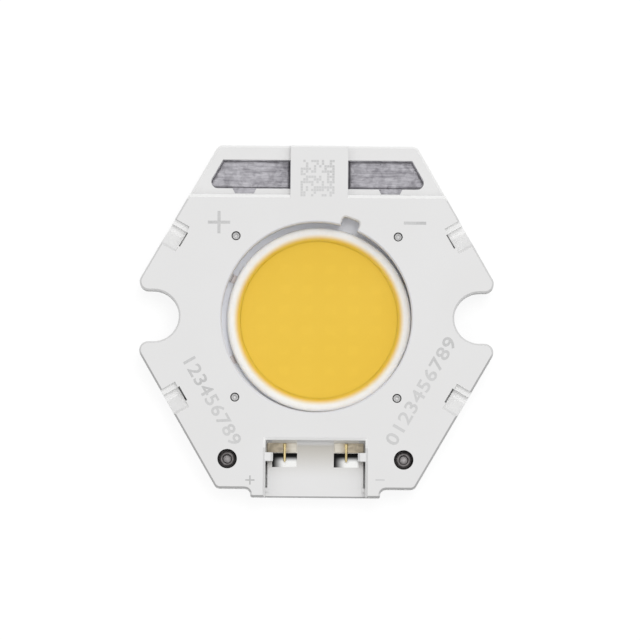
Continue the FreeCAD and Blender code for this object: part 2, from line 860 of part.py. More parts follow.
def cut_clip_recesses(body):
    """Stepped recess in each slanted side: a ledge at the stop, a floor and a ramp from it."""
    back = flat - cell.clip_reach
    beyond = flat + cell.clip_reach
    slit_end = cell.clip_ledge - cell.clip_slit_length
    ledges = flat_sketch(body, "clip_ledges", housing_top)
    slits = flat_sketch(body, "clip_slits", housing_top)
    for angle, up in ((30, 1), (330, 1), (150, -1), (210, -1)):
        ends = (up * cell.clip_ledge, up * cell.clip_stop)
        draw_turned_rectangle(ledges, angle, (back, beyond), ends)
        ends = (up * slit_end, up * cell.clip_ledge)
        draw_turned_rectangle(slits, angle, (back - cell.clip_slit_width, back), ends)
    pocket(body, ledges, cell.clip_ledge_depth)
    pocket(body, slits, cell.clip_slit_depth)

    above = housing_top + cell.clip_depth
    floor = housing_top - cell.clip_depth
    ramp_cuts = []
    for name, angle in (("upper", 30), ("lower", 330)):
        ramp = side_sketch(body, name + "_clip_ramp", angle, back)
        draw_polygon(ramp, [
            (cell.clip_ledge, above), (cell.clip_ledge, floor),
            (cell.clip_ledge - cell.clip_floor_length, floor),
            (-cell.clip_ramp_end, housing_top), (-cell.clip_ramp_end, above),
        ])
        ramp_cuts.append(pocket(body, ramp, 2 * cell.clip_reach, forwards=True))
    before = volume_of(body)
    mirrored = body.newObject("PartDesign::Mirrored", "left_clip_ramps")
    mirrored.Originals = ramp_cuts
    middle = [item for item in body.Origin.OriginFeatures if item.Role == "YZ_Plane"][0]
    mirrored.MirrorPlane = (middle, [""])
    body.Tip = mirrored
    finish_feature(body, mirrored, -1, before)


def cut_plug_port(body):
    """Open-fronted port with two contact openings, latch nubs and a slit along each side."""
    front = tab_bottom + cell.tab_drop
    half, back = cell.port_half_width, port_back
    cavity = flat_sketch(body, "port_cavity", housing_top)
    draw_rectangle(cavity, -half, half, -front, -back)
    pocket(body, cavity, housing_top - lead_top)

    def on_rim(point):
        if point.y > NEAR - back.value:
            return False
        return abs(point.x) < half.value + NEAR

    rim = lies_level(housing_top, on_rim)
    dress_edges(body, "Chamfer", "port_rim", cell.port_bevel, rim)
    openings = flat_sketch(body, "port_openings", housing_top)
    nubs = flat_sketch(body, "latch_nubs", lead_top)
    slits = flat_sketch(body, "port_slits", lead_top)
    stops = flat_sketch(body, "slit_stops", lead_top)
    nub_edge = half - cell.nub_reach
    nub_front = opening_back + cell.nub_length
    for sign in (1, -1):
        sides = (sign * cell.opening_inner, sign * opening_outer)
        draw_rectangle(openings, *sides, -opening_front, -opening_back)
        nub_sides = (sign * nub_edge, sign * (half + cell.nub_reach / 2))
        draw_rectangle(nubs, *nub_sides, -nub_front, -opening_back)
        slit_sides = (sign * (half - cell.slit_width), sign * half)
        draw_rectangle(slits, *slit_sides, -slit_front, -nub_front)
        stop_sides = (sign * (half - cell.stop_width), sign * (half + cell.stop_width / 2))
        draw_rectangle(stops, *stop_sides, -slit_front - cell.stop_length, -slit_front)
    pocket(body, openings)
    pocket(body, slits, cell.slit_depth)
    pad(body, stops, cell.stop_height)
    pad(body, nubs, housing_top - lead_top - cell.nub_drop)
    nub_top = housing_top - cell.nub_drop
    bevelled = lies_level(nub_top, lambda point: abs(point.x) < nub_edge.value + NEAR)
    dress_edges(body, "Chamfer", "nub_bevel", cell.nub_bevel, bevelled)


def cut_underside(body):
    """Room under the housing for the lead feet, and the shallow seat of the adhesive."""
    shift = (cell.emitter_shift_x, cell.emitter_shift_y)
    half = cell.tail_width / 2 + cell.film_margin + cell.foot_room
    inside = window_radius - cell.foot_width
    outside = tail_end_radius + cell.film_margin + cell.foot_room
    height = foot_bottom + cell.foot_thickness + cell.foot_room - cell.base_thickness
    rooms = flat_sketch(body, "foot_rooms", cell.base_thickness)
    for angle in tail_angles():
        draw_turned_rectangle(rooms, angle, (inside, outside), (-half, half), shift)
    pocket(body, rooms, height, forwards=True)
    seat = flat_sketch(body, "adhesive_seat", cell.base_thickness)
    reach, half_width = cell.adhesive_length / 2, cell.adhesive_width / 2
    middle = adhesive_y
    draw_rectangle(seat, -reach, reach, middle - half_width, middle + half_width)
    pocket(body, seat, cell.adhesive_thickness, forwards=True)


def make_housing(lead_frames):
    """White moulding over the plate, moulded round the two lead frames."""
    body = new_body("housing_blank")
    draw_outline(body, cell.base_thickness, cell.housing_height, as_size(0))
    rim = lies_level(housing_top, lambda point: True)
    dress_edges(body, "Chamfer", "housing_edge", cell.housing_edge_bevel, rim)
    cut_clip_recesses(body)
    cut_light_window(body)
    cut_pad_shelves(body)
    cut_plug_port(body)
    cut_round_holes(body)
    cut_underside(body)
    return without("housing", body, lead_frames)


def make_port_contact(pole, sign):
    """Gold-plated plate on the lead frame's leg, with a round pin over the opening."""
    body = new_body("port_contact_" + pole)
    left = sign * (cell.opening_inner + cell.contact_margin)
    right = sign * (opening_outer - cell.contact_margin)
    front = -opening_back + cell.contact_margin
    rear = front + cell.contact_depth
    plate = flat_sketch(body, pole + "_contact_plate", lead_top)
    draw_rectangle(plate, left, right, front, rear)
    pad(body, plate, cell.contact_thickness)
    middle = sign * (cell.opening_inner + opening_outer) / 2
    level = lead_top + cell.contact_thickness
    sections = attached_sketch(body, pole + "_pin", "XZ_Plane", (0, 0, -rear), (0, 1, 0), 0)
    draw_circle(sections, middle, level, cell.pin_radius)
    pin_tip = opening_back + cell.pin_reach
    pad(body, sections, pin_tip + rear)
    tip = -pin_tip.value

    def at_tip(edge):
        return abs(edge.BoundBox.YMin - tip) < NEAR and abs(edge.BoundBox.YMax - tip) < NEAR

    dress_edges(body, "Chamfer", pole + "_pin_tip", cell.pin_tip_bevel, at_tip)
    return body


def make_eyelet(side, sign):
    """Hollow eyelet: flared under the plate, flanged on the housing's seat, with a tall lip."""
    body = new_body("eyelet_" + side, sign * eyelet_x, -eyelet_y)
    bore, barrel = cell.eyelet_bore_radius, eyelet_barrel_radius
    flange = eyelet_flange_radius
    low = cell.eyelet_clearance
    seat = cell.base_thickness + cell.eyelet_seat_height
    flange_top = seat + cell.eyelet_flange_thickness
    lip_top = housing_top - cell.eyelet_lip_drop
    profile = upright_sketch(body, side + "_eyelet_profile")
    draw_polygon(profile, [
        (bore, low), (barrel + cell.eyelet_flare - low, low), (barrel, cell.eyelet_flare),
        (barrel, seat), (flange, seat), (flange, flange_top),
        (barrel, flange_top), (barrel, lip_top - cell.eyelet_lip_bevel),
        (barrel - cell.eyelet_lip_bevel, lip_top), (bore, lip_top),
    ])
    revolve(body, profile)
    return body


def make_solder_joint(number, angle):
    """Low block of solder, tapered upwards, between a trace tail and the foot above it."""
    body = new_body("solder_joint_{}".format(number), cell.emitter_shift_x, cell.emitter_shift_y)
    foot = flat_sketch(body, "joint_{}_foot".format(number), trace_top, angle)
    inside = joint_centre_radius - cell.joint_half_width
    outside = joint_centre_radius + cell.joint_half_width
    draw_rectangle(foot, inside, outside, -cell.joint_half_width, cell.joint_half_width)
    block = pad(body, foot, cell.joint_height)
    set_bound(block, "TaperAngle", -cell.joint_taper)
    return body


def make_adhesive_strip():
    strip = document.addObject("Part::Box", "adhesive_strip")
    strip.Label = strip.Name
    set_bound(strip, "Length", cell.adhesive_length)
    set_bound(strip, "Width", cell.adhesive_width)
    set_bound(strip, "Height", cell.adhesive_thickness)
    bind(strip, "Placement.Base.x", -cell.adhesive_length / 2)
    bind(strip, "Placement.Base.y", adhesive_y - cell.adhesive_width / 2)
    bind(strip, "Placement.Base.z", cell.base_thickness)
    return strip


def make_module():
    """Every piece of the module, from the plate up."""
    pieces = [make_base_plate(), make_adhesive_strip()]
    film = make_dielectric_film()
    traces = [make_trace("trace_positive", as_size(180)), make_trace("trace_negative", as_size(0))]
    dies, wires = make_dies(), make_bond_wires()
    pieces += [film] + traces + [dies, wires]
    pieces.append(make_dam_ring([film] + traces))
    pieces.append(make_phosphor_fill([film] + traces + [dies, wires]))
    lead_frames = [make_lead_frame(*side) for side in lead_sides()]
    pieces += lead_frames
    pieces.append(make_housing(lead_frames))
    for pole, sign, strip_edge in lead_sides():
        pieces.append(make_port_contact(pole, sign))
    pieces += [make_eyelet("left", -1), make_eyelet("right", 1)]
    for number, angle in enumerate(tail_angles(), start=1):
        pieces.append(make_solder_joint(number, angle))
    return pieces


def check_document(pieces):
    document.recompute()
    for item in document.Objects:
        if "Invalid" in item.State or "Error" in item.State:
            raise RuntimeError("{} failed: {}".format(item.Label, item.State))
    for piece in pieces:
        if piece.Shape.isNull() or not piece.Shape.isValid():
            raise RuntimeError("{} has no valid shape".format(piece.Label))


def write_steps(pieces):
    os.makedirs("parts", exist_ok=True)
    for piece in pieces:
        piece.Shape.exportStep("parts/{}.step".format(piece.Label))
        solids = len(piece.Shape.Solids)
        print("{}: {} solids, {:.4f} mm3".format(piece.Label, solids, piece.Shape.Volume))


module_pieces = make_module()
check_document(module_pieces)
write_steps(module_pieces)
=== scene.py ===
import math
import random

import bpy
from bpy.props import FloatProperty, FloatVectorProperty, PointerProperty
from mathutils import Matrix, Vector, noise
from mathutils.geometry import delaunay_2d_cdt


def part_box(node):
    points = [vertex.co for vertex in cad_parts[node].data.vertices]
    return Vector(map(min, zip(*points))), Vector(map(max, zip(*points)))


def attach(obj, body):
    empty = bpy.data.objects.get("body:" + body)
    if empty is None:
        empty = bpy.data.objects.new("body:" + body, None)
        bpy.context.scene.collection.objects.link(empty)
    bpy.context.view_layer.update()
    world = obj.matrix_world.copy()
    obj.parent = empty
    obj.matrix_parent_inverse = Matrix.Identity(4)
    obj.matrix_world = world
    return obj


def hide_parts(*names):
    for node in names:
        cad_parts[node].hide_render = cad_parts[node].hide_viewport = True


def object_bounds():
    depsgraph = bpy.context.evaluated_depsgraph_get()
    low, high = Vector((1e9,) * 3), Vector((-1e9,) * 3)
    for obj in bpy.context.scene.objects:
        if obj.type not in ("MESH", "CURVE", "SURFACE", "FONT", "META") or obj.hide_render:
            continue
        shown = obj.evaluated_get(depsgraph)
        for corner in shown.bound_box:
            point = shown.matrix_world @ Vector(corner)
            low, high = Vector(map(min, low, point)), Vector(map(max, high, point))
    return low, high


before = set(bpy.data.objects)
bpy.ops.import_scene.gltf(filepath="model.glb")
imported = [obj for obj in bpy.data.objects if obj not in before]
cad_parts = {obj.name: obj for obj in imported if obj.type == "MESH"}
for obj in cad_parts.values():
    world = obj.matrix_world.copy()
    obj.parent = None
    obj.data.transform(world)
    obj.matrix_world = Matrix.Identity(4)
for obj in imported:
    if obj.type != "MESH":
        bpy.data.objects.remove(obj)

bl_info = {
    "name": "COB LED module finish",
    "version": (1, 0, 0),
    "blender": (4, 5, 0),
    "location": "3D View > Sidebar > COB LED",
    "description": "Gives an LED module its plastic, metals, silicone and printed signs",
    "category": "Object",
}

# Lengths are in metres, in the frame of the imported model: +Z out of the emitting face, -Y to the
# plug port, +Y to the solder pads. Materials count in millimetres.
MM = 0.001
CAD_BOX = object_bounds()
HOUSING_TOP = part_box("housing")[1].z
PLATE_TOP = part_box("base_plate")[1].z
DAM_LOW, DAM_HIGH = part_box("dam_ring")
FILL_LOW, FILL_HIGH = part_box("phosphor_fill")
LEAD_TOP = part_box("port_contact_positive")[0].z
CENTRE_X = (DAM_LOW.x + DAM_HIGH.x) / 2
CENTRE_Y = (DAM_LOW.y + DAM_HIGH.y) / 2
DAM_OUTER_RADIUS = (DAM_HIGH.x - DAM_LOW.x) / 2
FILL_RADIUS = (FILL_HIGH.x - FILL_LOW.x) / 2
SLANT_ANGLE = math.radians(60)
# The housing's round window, about the module's middle
WINDOW_RADIUS = 5.6 * MM
# The four small round holes, as plus and minus x and y in millimetres
PIPS = (4.77, 4.75)
# The photograph is 640 pixels wide, with 17 pixels to a millimetre
PHOTO_WIDTH = 640 / 17.0 * MM


def amount(name, description, default, **settings):
    return FloatProperty(name=name, description=description, default=default, **settings)


def angle(name, description, degrees):
    return amount(name, description, math.radians(degrees), subtype="ANGLE", unit="ROTATION")


def place(name, description, default, **limits):
    return amount(
        name, description, default, subtype="DISTANCE", unit="LENGTH", precision=6, **limits,
    )


def length(name, description, default):
    return place(name, description, default, min=0.0)


def colour(name, description, default):
    return FloatVectorProperty(
        name=name, description=description, default=default, min=0.0, max=1.0,
        size=3, subtype="COLOR",
    )


class LedSizes(bpy.types.PropertyGroup):
    """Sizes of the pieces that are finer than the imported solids"""

    dam_spread: length("Dam spread", "How far the bead bulges past the packed ring", 0.10 * MM)
    dam_lap: length("Dam lap", "How far the bead's flank laps over the fill", 0.27 * MM)
    dam_wander: length("Dam wander", "How far the laid bead strays from a circle", 0.012 * MM)
    dam_overlap: length("Dam overlap", "Extra height where the bead's ends meet", 0.03 * MM)
    meniscus_width: length("Meniscus width", "Width of the fill's rise at the dam", 0.5 * MM)
    fill_level: length("Fill level", "Height of the phosphor surface over the plate", 0.36 * MM)
    tin_thickness: length("Tin thickness", "Thickness of the solder coat on the pads", 0.045 * MM)
    tin_margin: length("Tin margin", "Bare rim between coat and window", 0.05 * MM)
    pin_radius: length("Pin radius", "Radius of the port's round pins", 0.1 * MM)
    cup_depth: length("Cup depth", "How deep the cup of an eyelet lies under its lip", 0.3 * MM)
    stake_radius: length("Stake radius", "Radius of the stakes' heads", 0.215 * MM)
    stake_sink: length("Stake sink", "How deep the heads lie under the housing's top", 0.2 * MM)
    plate_wing: length("Plate wing", "How far a contact plate reaches outwards", 0.32 * MM)
    ink_height: length("Ink height", "How far printed signs stand proud", 0.002 * MM)
    sign_stroke: length("Sign stroke", "Stroke width of the large pole signs", 0.18 * MM)
    sign_reach: length("Sign reach", "Half length of the large pole signs", 0.66 * MM)
    small_stroke: length("Small stroke", "Stroke width of the signs beside the port", 0.09 * MM)
    small_reach: length("Small reach", "Half length of the signs beside the port", 0.27 * MM)
    digit_height: length("Digit height", "Height of the figures in the two rows", 0.80 * MM)
    digit_weight: length("Digit weight", "How much the figures' strokes are widened", 0.02 * MM)
    cell_pitch: length("Cell pitch", "Pitch of the cells of the printed patch", 0.155 * MM)


class LedColours(bpy.types.PropertyGroup):
    """Colours of the finishes"""

    plastic: colour("Plastic", "White moulded housing", (0.77, 0.768, 0.768))
    plastic_shade: colour("Plastic shade", "Warmer cast of the moulding", (0.755, 0.751, 0.748))
    # Painted shade: grey for edges that face away from the light, the port's front edge and rings
    # in the small round holes
    plastic_painted_shade: colour("Plastic rubbed", "Grey dirt on the lower edges", (0.26, 0.26, 0.26))
    # Painted shade: darker port floor by its rear wall, where that wall's shadow falls
    plastic_rear_painted_shade: colour("Plastic rear", "Duller moulding at the port's rear", (0.55, 0.53, 0.49))
    dam: colour("Dam", "White silicone bead", (0.935, 0.925, 0.91))
    phosphor: colour("Phosphor", "Yellow phosphor fill", (0.835, 0.55, 0.048))
    phosphor_deep: colour("Phosphor deep", "Fill between the chips", (0.765, 0.49, 0.038))
    tin: colour("Tin", "Solder on the pads", (0.60, 0.59, 0.625))
    tin_dark: colour("Tin dark", "Dull streaks in the solder", (0.20, 0.19, 0.215))
    gold: colour("Gold", "Plated pins", (0.86, 0.70, 0.36))
    tan: colour("Tan", "Dull plating of the contact plates", (0.50, 0.435, 0.33))
    plate: colour("Plate", "Bare aluminium", (0.42, 0.415, 0.43))
    plate_dull: colour("Plate dull", "Rolled streaks in the aluminium", (0.32, 0.315, 0.33))
    eyelet: colour("Eyelet", "Dark plated brass of the eyelets", (0.15, 0.14, 0.14))
    ink: colour("Ink", "Printed signs", (0.48, 0.48, 0.48))
    film: colour("Film", "Coat of the plate and the film round the dam", (0.885, 0.895, 0.94))
    film_dull: colour("Film dull", "Duller patches of that coat", (0.815, 0.825, 0.87))
    floor: colour("Floor", "Pale floor", (0.2, 0.2, 0.2))


class LedStage(bpy.types.PropertyGroup):
    """Camera and light"""

    lens: amount(
        "Lens", "Focal length in millimetres", 800.0, min=1.0, subtype="DISTANCE_CAMERA",
    )
    image_width: length("Image width", "Width that the picture shows", PHOTO_WIDTH)
    aim_x: place("Aim X", "Where the picture's centre is", 0.207 * MM)
    aim_y: place("Aim Y", "Where the picture's centre is", -0.175 * MM)
    tilt: angle("Tilt", "Lean of the camera to the port's side", 2.0)
    roll: angle("Roll", "Turn of the camera about its own axis", 0.45)
    key_power: amount("Key power", "Power of the main lamp in watts", 0.28, min=0.0, unit="POWER")
    horizon_strength: amount("Horizon strength", "Soft light from the sides", 0.04, min=0.0)
    sky_lean: amount("Sky lean", "How far the soft light leans to the pads' side", 0.12)
    zenith_strength: amount("Zenith strength", "Soft light from overhead", 1.06, min=0.0)


# ---- Node building ----


class Desk:
    """A node tree with short calls to add nodes and join them."""

    def __init__(self, tree):
        self.tree = tree

    def add(self, kind, inputs=None, **settings):
        """Add one node, set its properties, and fill or join its inputs."""
        node = self.tree.nodes.new("ShaderNode" + kind)
        for name, value in settings.items():
            setattr(node, name, value)
        for name, value in (inputs or {}).items():
            self.feed(node.inputs[name], value)
        return node

    def feed(self, socket, value):
        if isinstance(value, bpy.types.NodeSocket):
            self.tree.links.new(value, socket)
        else:
            socket.default_value = value

    def math(self, operation, *values, clamp=False):
        node = self.add("Math", operation=operation, use_clamp=clamp)
        for socket, value in zip(node.inputs, values):
            self.feed(socket, value)
        return node.outputs[0]

    def times(self, value, *others):
        """Multiply values, such as masks that all have to hold."""
        for other in others:
            value = self.math("MULTIPLY", value, other)
        return value

    def most(self, value, *others):
        """Take the largest of some values, such as masks of which one has to hold."""
        for other in others:
            value = self.math("MAXIMUM", value, other)
        return value

    def plus(self, first, second, clamp=False):
        return self.math("ADD", first, second, clamp=clamp)

    def minus(self, first, second):
        return self.math("SUBTRACT", first, second)

    def below(self, value, limit):
        return self.math("LESS_THAN", value, limit)

    def above(self, value, limit):
        return self.math("GREATER_THAN", value, limit)

    def within(self, value, middle, gap):
        """Mask of the values that are at most a gap away from the middle."""
        return self.math("COMPARE", value, middle, gap)

    def far(self, value):
        return self.math("ABSOLUTE", value)

    def ramp(self, value, low, high, start=0.0, end=1.0):
        """Map a value smoothly from one range to another, held at both ends."""
        node = self.add("MapRange", interpolation_type="SMOOTHSTEP")
        places = ("Value", "From Min", "From Max", "To Min", "To Max")
        for name, item in zip(places, (value, low, high, start, end)):
            self.feed(node.inputs[name], item)
        return node.outputs[0]

    def fade(self, value, low, high):
        """Mask that falls from full to none over a range."""
        return self.ramp(value, low, high, 1.0, 0.0)

    def blend(self, factor, first, second):
        """Mix two colours."""
        node = self.add("Mix", data_type="RGBA")
        self.feed(node.inputs[0], factor)
        for socket, value in ((node.inputs[6], first), (node.inputs[7], second)):
            if not isinstance(value, bpy.types.NodeSocket):
                value = (*value, 1.0)
            self.feed(socket, value)
        return node.outputs[2]

    def position(self, stretch=(1.0, 1.0, 1.0), shift=(0.0, 0.0, 0.0)):
        """Object coordinates in millimetres, stretched and shifted."""
        source = self.add("TexCoord").outputs["Object"]
        scale = Vector(stretch) / MM
        scaled = self.add("VectorMath", operation="MULTIPLY")
        self.feed(scaled.inputs[0], source)
        self.feed(scaled.inputs[1], scale)
        moved = self.add("VectorMath", operation="SUBTRACT")
        self.feed(moved.inputs[0], scaled.outputs[0])
        self.feed(moved.inputs[1], Vector(shift) / MM)
        return moved.outputs[0]

    def noise(self, vector, scale, detail=2.0, roughness=0.5, distortion=0.0):
        values = {
            "Vector": vector, "Scale": scale, "Detail": detail, "Roughness": roughness,
            "Distortion": distortion,
        }
        return self.add("TexNoise", values).outputs[0]


def shared_effect(inputs, outputs):
    """Make a function that builds a node group at its first use and hands it out every time."""

    def wrap(build):
        def group():
            name = build.__name__
            if name not in bpy.data.node_groups:
                desk = Desk(bpy.data.node_groups.new(name, "ShaderNodeTree"))
                new_socket, kind = desk.tree.interface.new_socket, "NodeSocketFloat"
                for label, default in inputs:
                    socket = new_socket(label, in_out="INPUT", socket_type=kind)
                    socket.default_value = default
                for label in outputs:
                    new_socket(label, in_out="OUTPUT", socket_type=kind)
                source = desk.tree.nodes.new("NodeGroupInput")
                result = desk.tree.nodes.new("NodeGroupOutput")
                build(desk, source.outputs, result.inputs)
            return bpy.data.node_groups[name]

        return group

    return wrap


@shared_effect((("Grain per mm", 12.0), ("Waves per mm", 0.8)), ("Height", "Tone"))
def moulded_grain(desk, given, result):
    """Fine spark-eroded grain and slow unevenness of a moulded or poured surface."""
    spot = desk.position()
    grain = desk.noise(spot, given["Grain per mm"], detail=3.0, roughness=0.6)
    waves = desk.noise(spot, given["Waves per mm"], detail=2.0)
    cloud = desk.noise(spot, 0.21, detail=3.0, roughness=0.55)
    desk.feed(result["Height"], desk.plus(desk.times(grain, 0.6), desk.times(waves, 0.4)))
    tone = desk.plus(desk.times(cloud, 0.65), desk.times(grain, 0.35))
    desk.feed(result["Tone"], desk.ramp(tone, 0.38, 0.62))


@shared_effect((("Streaks per mm", 9.0), ("Blotches per mm", 1.2)), ("Streak", "Blotch"))
def rolled_streaks(desk, given, result):
    """Streaks along X, as rolling, wiping or drawing leaves them on metal."""
    along = desk.position(stretch=(0.12, 1.0, 1.0))
    streak = desk.noise(along, given["Streaks per mm"], detail=4.0, roughness=0.65)
    blotch = desk.noise(desk.position(), given["Blotches per mm"], detail=4.0, distortion=0.6)
    desk.feed(result["Streak"], desk.ramp(streak, 0.3, 0.7))
    desk.feed(result["Blotch"], desk.ramp(blotch, 0.35, 0.68))


@shared_effect((("Specks per mm", 1.6), ("Size", 0.05)), ("Mask",))
def fine_specks(desk, given, result):
    """Sparse specks of dust and dark grit."""
    cells = desk.add("TexVoronoi", {"Vector": desk.position(), "Scale": given["Specks per mm"]})
    near = desk.below(cells.outputs["Distance"], given["Size"])
    pick = desk.add("SeparateColor", {"Color": cells.outputs["Color"]}).outputs[0]
    desk.feed(result["Mask"], desk.times(near, desk.above(pick, 0.72)))


class Finish(Desk):
    """A material with a Principled BSDF, built with the same short calls."""

    def __init__(self, name, constants=None):
        self.material = bpy.data.materials.new(name)
        self.material.use_nodes = True
        super().__init__(self.material.node_tree)
        self.shader = self.tree.nodes["Principled BSDF"]
        for label, value in (constants or {}).items():
            self.shader.inputs[label].default_value = value

    def effect(self, tree, **values):
        """Place one of the shared effects with its own values."""
        node = self.tree.nodes.new("ShaderNodeGroup")
        node.node_tree = tree
        for label, value in values.items():
            self.feed(node.inputs[label.replace("_", " ")], value)
        return node.outputs

    def grain(self, grains, waves):
        return self.effect(moulded_grain(), Grain_per_mm=grains, Waves_per_mm=waves)

    def streaks(self, streaks, blotches):
        return self.effect(rolled_streaks(), Streaks_per_mm=streaks, Blotches_per_mm=blotches)

    def specks(self, specks, size):
        return self.effect(fine_specks(), Specks_per_mm=specks, Size=size)

    def paint(self, name, value):
        self.feed(self.shader.inputs[name], value)

    def roughen(self, tone, low, high):
        """Set the roughness from low to high, by a tone from 0 to 1."""
        self.paint("Roughness", self.ramp(tone, 0.0, 1.0, low, high))

    def axes(self, shift=(0.0, 0.0, 0.0)):
        """The three object coordinates in millimetres, about a shifted origin."""
        return self.add("SeparateXYZ", {"Vector": self.position(shift=shift)}).outputs

    def from_axis(self, x, y):
        """Distance from an upright axis, out of the distances along x and y."""
        return self.math("SQRT", self.plus(self.times(x, x), self.times(y, y)))

    def reach(self, x=CENTRE_X, y=CENTRE_Y):
        """Distance in plan from an upright axis, in millimetres."""
        return self.from_axis(*self.axes((x, y, 0.0))[:2])

    def spots(self, spot, full, none):
        """Mask of the four round spots at plus and minus x and y, all in millimetres."""
        gaps = [self.minus(self.far(axis), offset)
                for axis, offset in zip(self.axes(), spot)]
        return self.fade(self.from_axis(*gaps), full, none)

    def relief(self, height, depth):
        """Turn a height into the shader's normal; depth is in metres."""
        node = self.add("Bump", {"Strength": 1.0, "Distance": depth, "Height": height})
        self.paint("Normal", node.outputs[0])


def once(build):
    """Build a material at its first use and hand out the same one after that."""

    def finish():
        if build.__name__ not in bpy.data.materials:
            build()
        return bpy.data.materials[build.__name__]

    return finish


def tints():
    return bpy.context.scene.led_colours


def sizes():
    return bpy.context.scene.led_sizes


def scaled(tint, factor):
    """A colour made darker or lighter by a factor."""
    return tuple(factor * channel for channel in tint)


# Colours of small places, beside those that the panel shows
# The first colour is painted light on some faces of the moulding, the second the cooler window wall
PAINTED_LIGHT_FACE, WINDOW_WALL = (0.97, 0.97, 0.965), (0.755, 0.765, 0.80)
PIT_DARK, PIT_LIT = (0.008, 0.008, 0.008), (0.86, 0.86, 0.85)
COATED_TRACE, BROWN_TRACE = (0.72, 0.66, 0.66), (0.36, 0.29, 0.21)
PALE_PLATING, DENT_SHADE = (0.68, 0.64, 0.56), (0.12, 0.10, 0.08)
# Dark grit and painted shade on the solder, then pale tin
GRIT_AND_SHADE_TIN, PALE_TIN = (0.09, 0.085, 0.10), (0.86, 0.84, 0.79)
# Painted light under the small round holes: the floor and its bright ring
HOLE_FLOOR_PAINTED_LIGHT, HOLE_RING_PAINTED_LIGHT = (0.45, 0.44, 0.44), (0.97, 0.96, 0.95)

# Bounds on the moulding and on the plate under it, in millimetres
SHELF_EDGE = 6.9
RIM_REACH = 8.2
PORT_HALF_WIDTH = 3.4
TAB_HALF_WIDTH = 3.9
PIT_LEFT, PIT_PITCH, PIT_WIDTH = -2.55, 3.63, 1.47
PIT_REAR, PIT_FRONT, PIT_LENGTH = -7.98, -8.9, 0.84


@once
def white_moulding():
    """White plastic: painted light on some faces, cooler in the window, painted shade at lower
    edges.
    """
    look = Finish("white_moulding", {"IOR": 1.5, "Specular IOR Level": 0.1})
    grain = look.grain(14.0, 1.1)
    specks = look.specks(1.3, 0.03)
    base = look.blend(look.times(grain["Tone"], 0.6), tints().plastic, tints().plastic_shade)
    base = look.blend(look.times(specks["Mask"], 0.25), base, tints().ink)
    x, y, z = look.axes()
    across, along, reach = look.far(x), look.far(y), look.reach(0.0, 0.0)
    normal = look.add("NewGeometry").outputs["True Normal"]
    _, facing_y, facing_z = look.add("SeparateXYZ", {"Vector": normal}).outputs
    steep, upward = look.below(facing_z, 0.98), look.above(facing_z, 0.1)
    sloped = look.times(steep, upward)
    outer = look.times(
        look.below(facing_y, -0.15), look.above(reach, RIM_REACH), look.below(y, SHELF_EDGE),
    )
    painted_light = look.most(
        # Painted light on the bevels of the pads' shelf, then on the port's rear walls and its side
        # slits
        look.times(sloped, look.above(y, SHELF_EDGE)),
        look.times(steep, look.within(y, -7.3, 0.4), look.below(across, PORT_HALF_WIDTH)),
        look.times(look.within(y, -9.3, 0.95), look.within(across, 2.8, 0.25), look.below(z, 2.04)),
        # Painted light in the clip recesses by a third, then on the outer walls beside the port's
        # tab
        look.times(look.within(z, 2.3, 0.75), look.above(reach, 8.0), look.below(along, 6.5),
                   upward, 0.35),
        look.times(outer, look.below(facing_z, 0.1), look.above(across, TAB_HALF_WIDTH)),
    )
    base = look.blend(painted_light, base, PAINTED_LIGHT_FACE)
    window = look.fade(reach, 5.68, 5.74)
    base = look.blend(window, base, WINDOW_WALL)
    painted_shades = (
        # Painted shade on slanted edges away from the screw notches, on the port's front edge, and
        # in rings in the small round holes
        look.times(sloped, outer, look.ramp(along, 1.8, 2.6, 0.0, 0.45)),
        look.times(look.below(y, -10.53), look.within(z, 1.97, 0.11),
                   look.below(across, TAB_HALF_WIDTH), 0.75),
        look.times(look.minus(look.spots(PIPS, 0.24, 0.3), look.spots(PIPS, 0.05, 0.12)), 0.3),
    )
    for mask in painted_shades:
        base = look.blend(mask, base, tints().plastic_painted_shade)
    # Painted shade of the rear wall on the port's floor, fading towards the front
    rear = look.times(
        look.ramp(y, -9.6, -7.5), look.fade(z, 2.3, 2.6),
        look.fade(y, -7.6, -7.4), look.below(across, PORT_HALF_WIDTH),
    )
    look.paint("Base Color", look.blend(rear, base, tints().plastic_rear_painted_shade))
    look.roughen(grain["Tone"], 0.42, 0.56)
    look.relief(grain["Height"], 0.006 * MM)


@once
def rolled_aluminium():
    """Bare sides and underside, a pale coat on top, and the two pits under the port's pins."""
    look = Finish("rolled_aluminium")
    streaks = look.streaks(7.0, 0.7)
    specks = look.specks(1.1, 0.06)
    grain = look.grain(9.0, 2.0)
    metal = look.blend(look.times(streaks["Streak"], 0.55), tints().plate, tints().plate_dull)
    metal = look.blend(look.times(specks["Mask"], 0.5), metal, tints().tin_dark)
    x, y, z = look.axes()
    upper = look.ramp(z, PLATE_TOP / MM - 0.1, PLATE_TOP / MM - 0.03)
    coat = look.blend(look.times(grain["Tone"], 0.5), tints().film, tints().film_dull)
    # Each pit is black at its left and its rear, and pale at the corner that the light reaches
    shifted = look.math("MODULO", look.plus(x, -PIT_LEFT), PIT_PITCH)
    across = look.math("DIVIDE", shifted, PIT_WIDTH)
    along = look.math("DIVIDE", look.minus(PIT_REAR, y), PIT_LENGTH)
    light = look.times(look.ramp(across, 0.02, 0.5), look.ramp(along, 0.2, 0.62))
    pit_tone = look.blend(light, PIT_DARK, PIT_LIT)
    pit = look.times(look.fade(y, -7.9, -7.6), upper, look.above(y, PIT_FRONT))
    look.paint("Base Color", look.blend(pit, look.blend(upper, metal, coat), pit_tone))
    look.paint("Metallic", look.most(look.minus(1.0, upper), pit))
    rough = look.ramp(streaks["Blotch"], 0.0, 1.0, 0.3, 0.46)
    look.paint("Roughness", look.times(rough, look.ramp(pit, 0.0, 1.0, 1.0, 0.3)))
    look.relief(streaks["Streak"], 0.002 * MM)


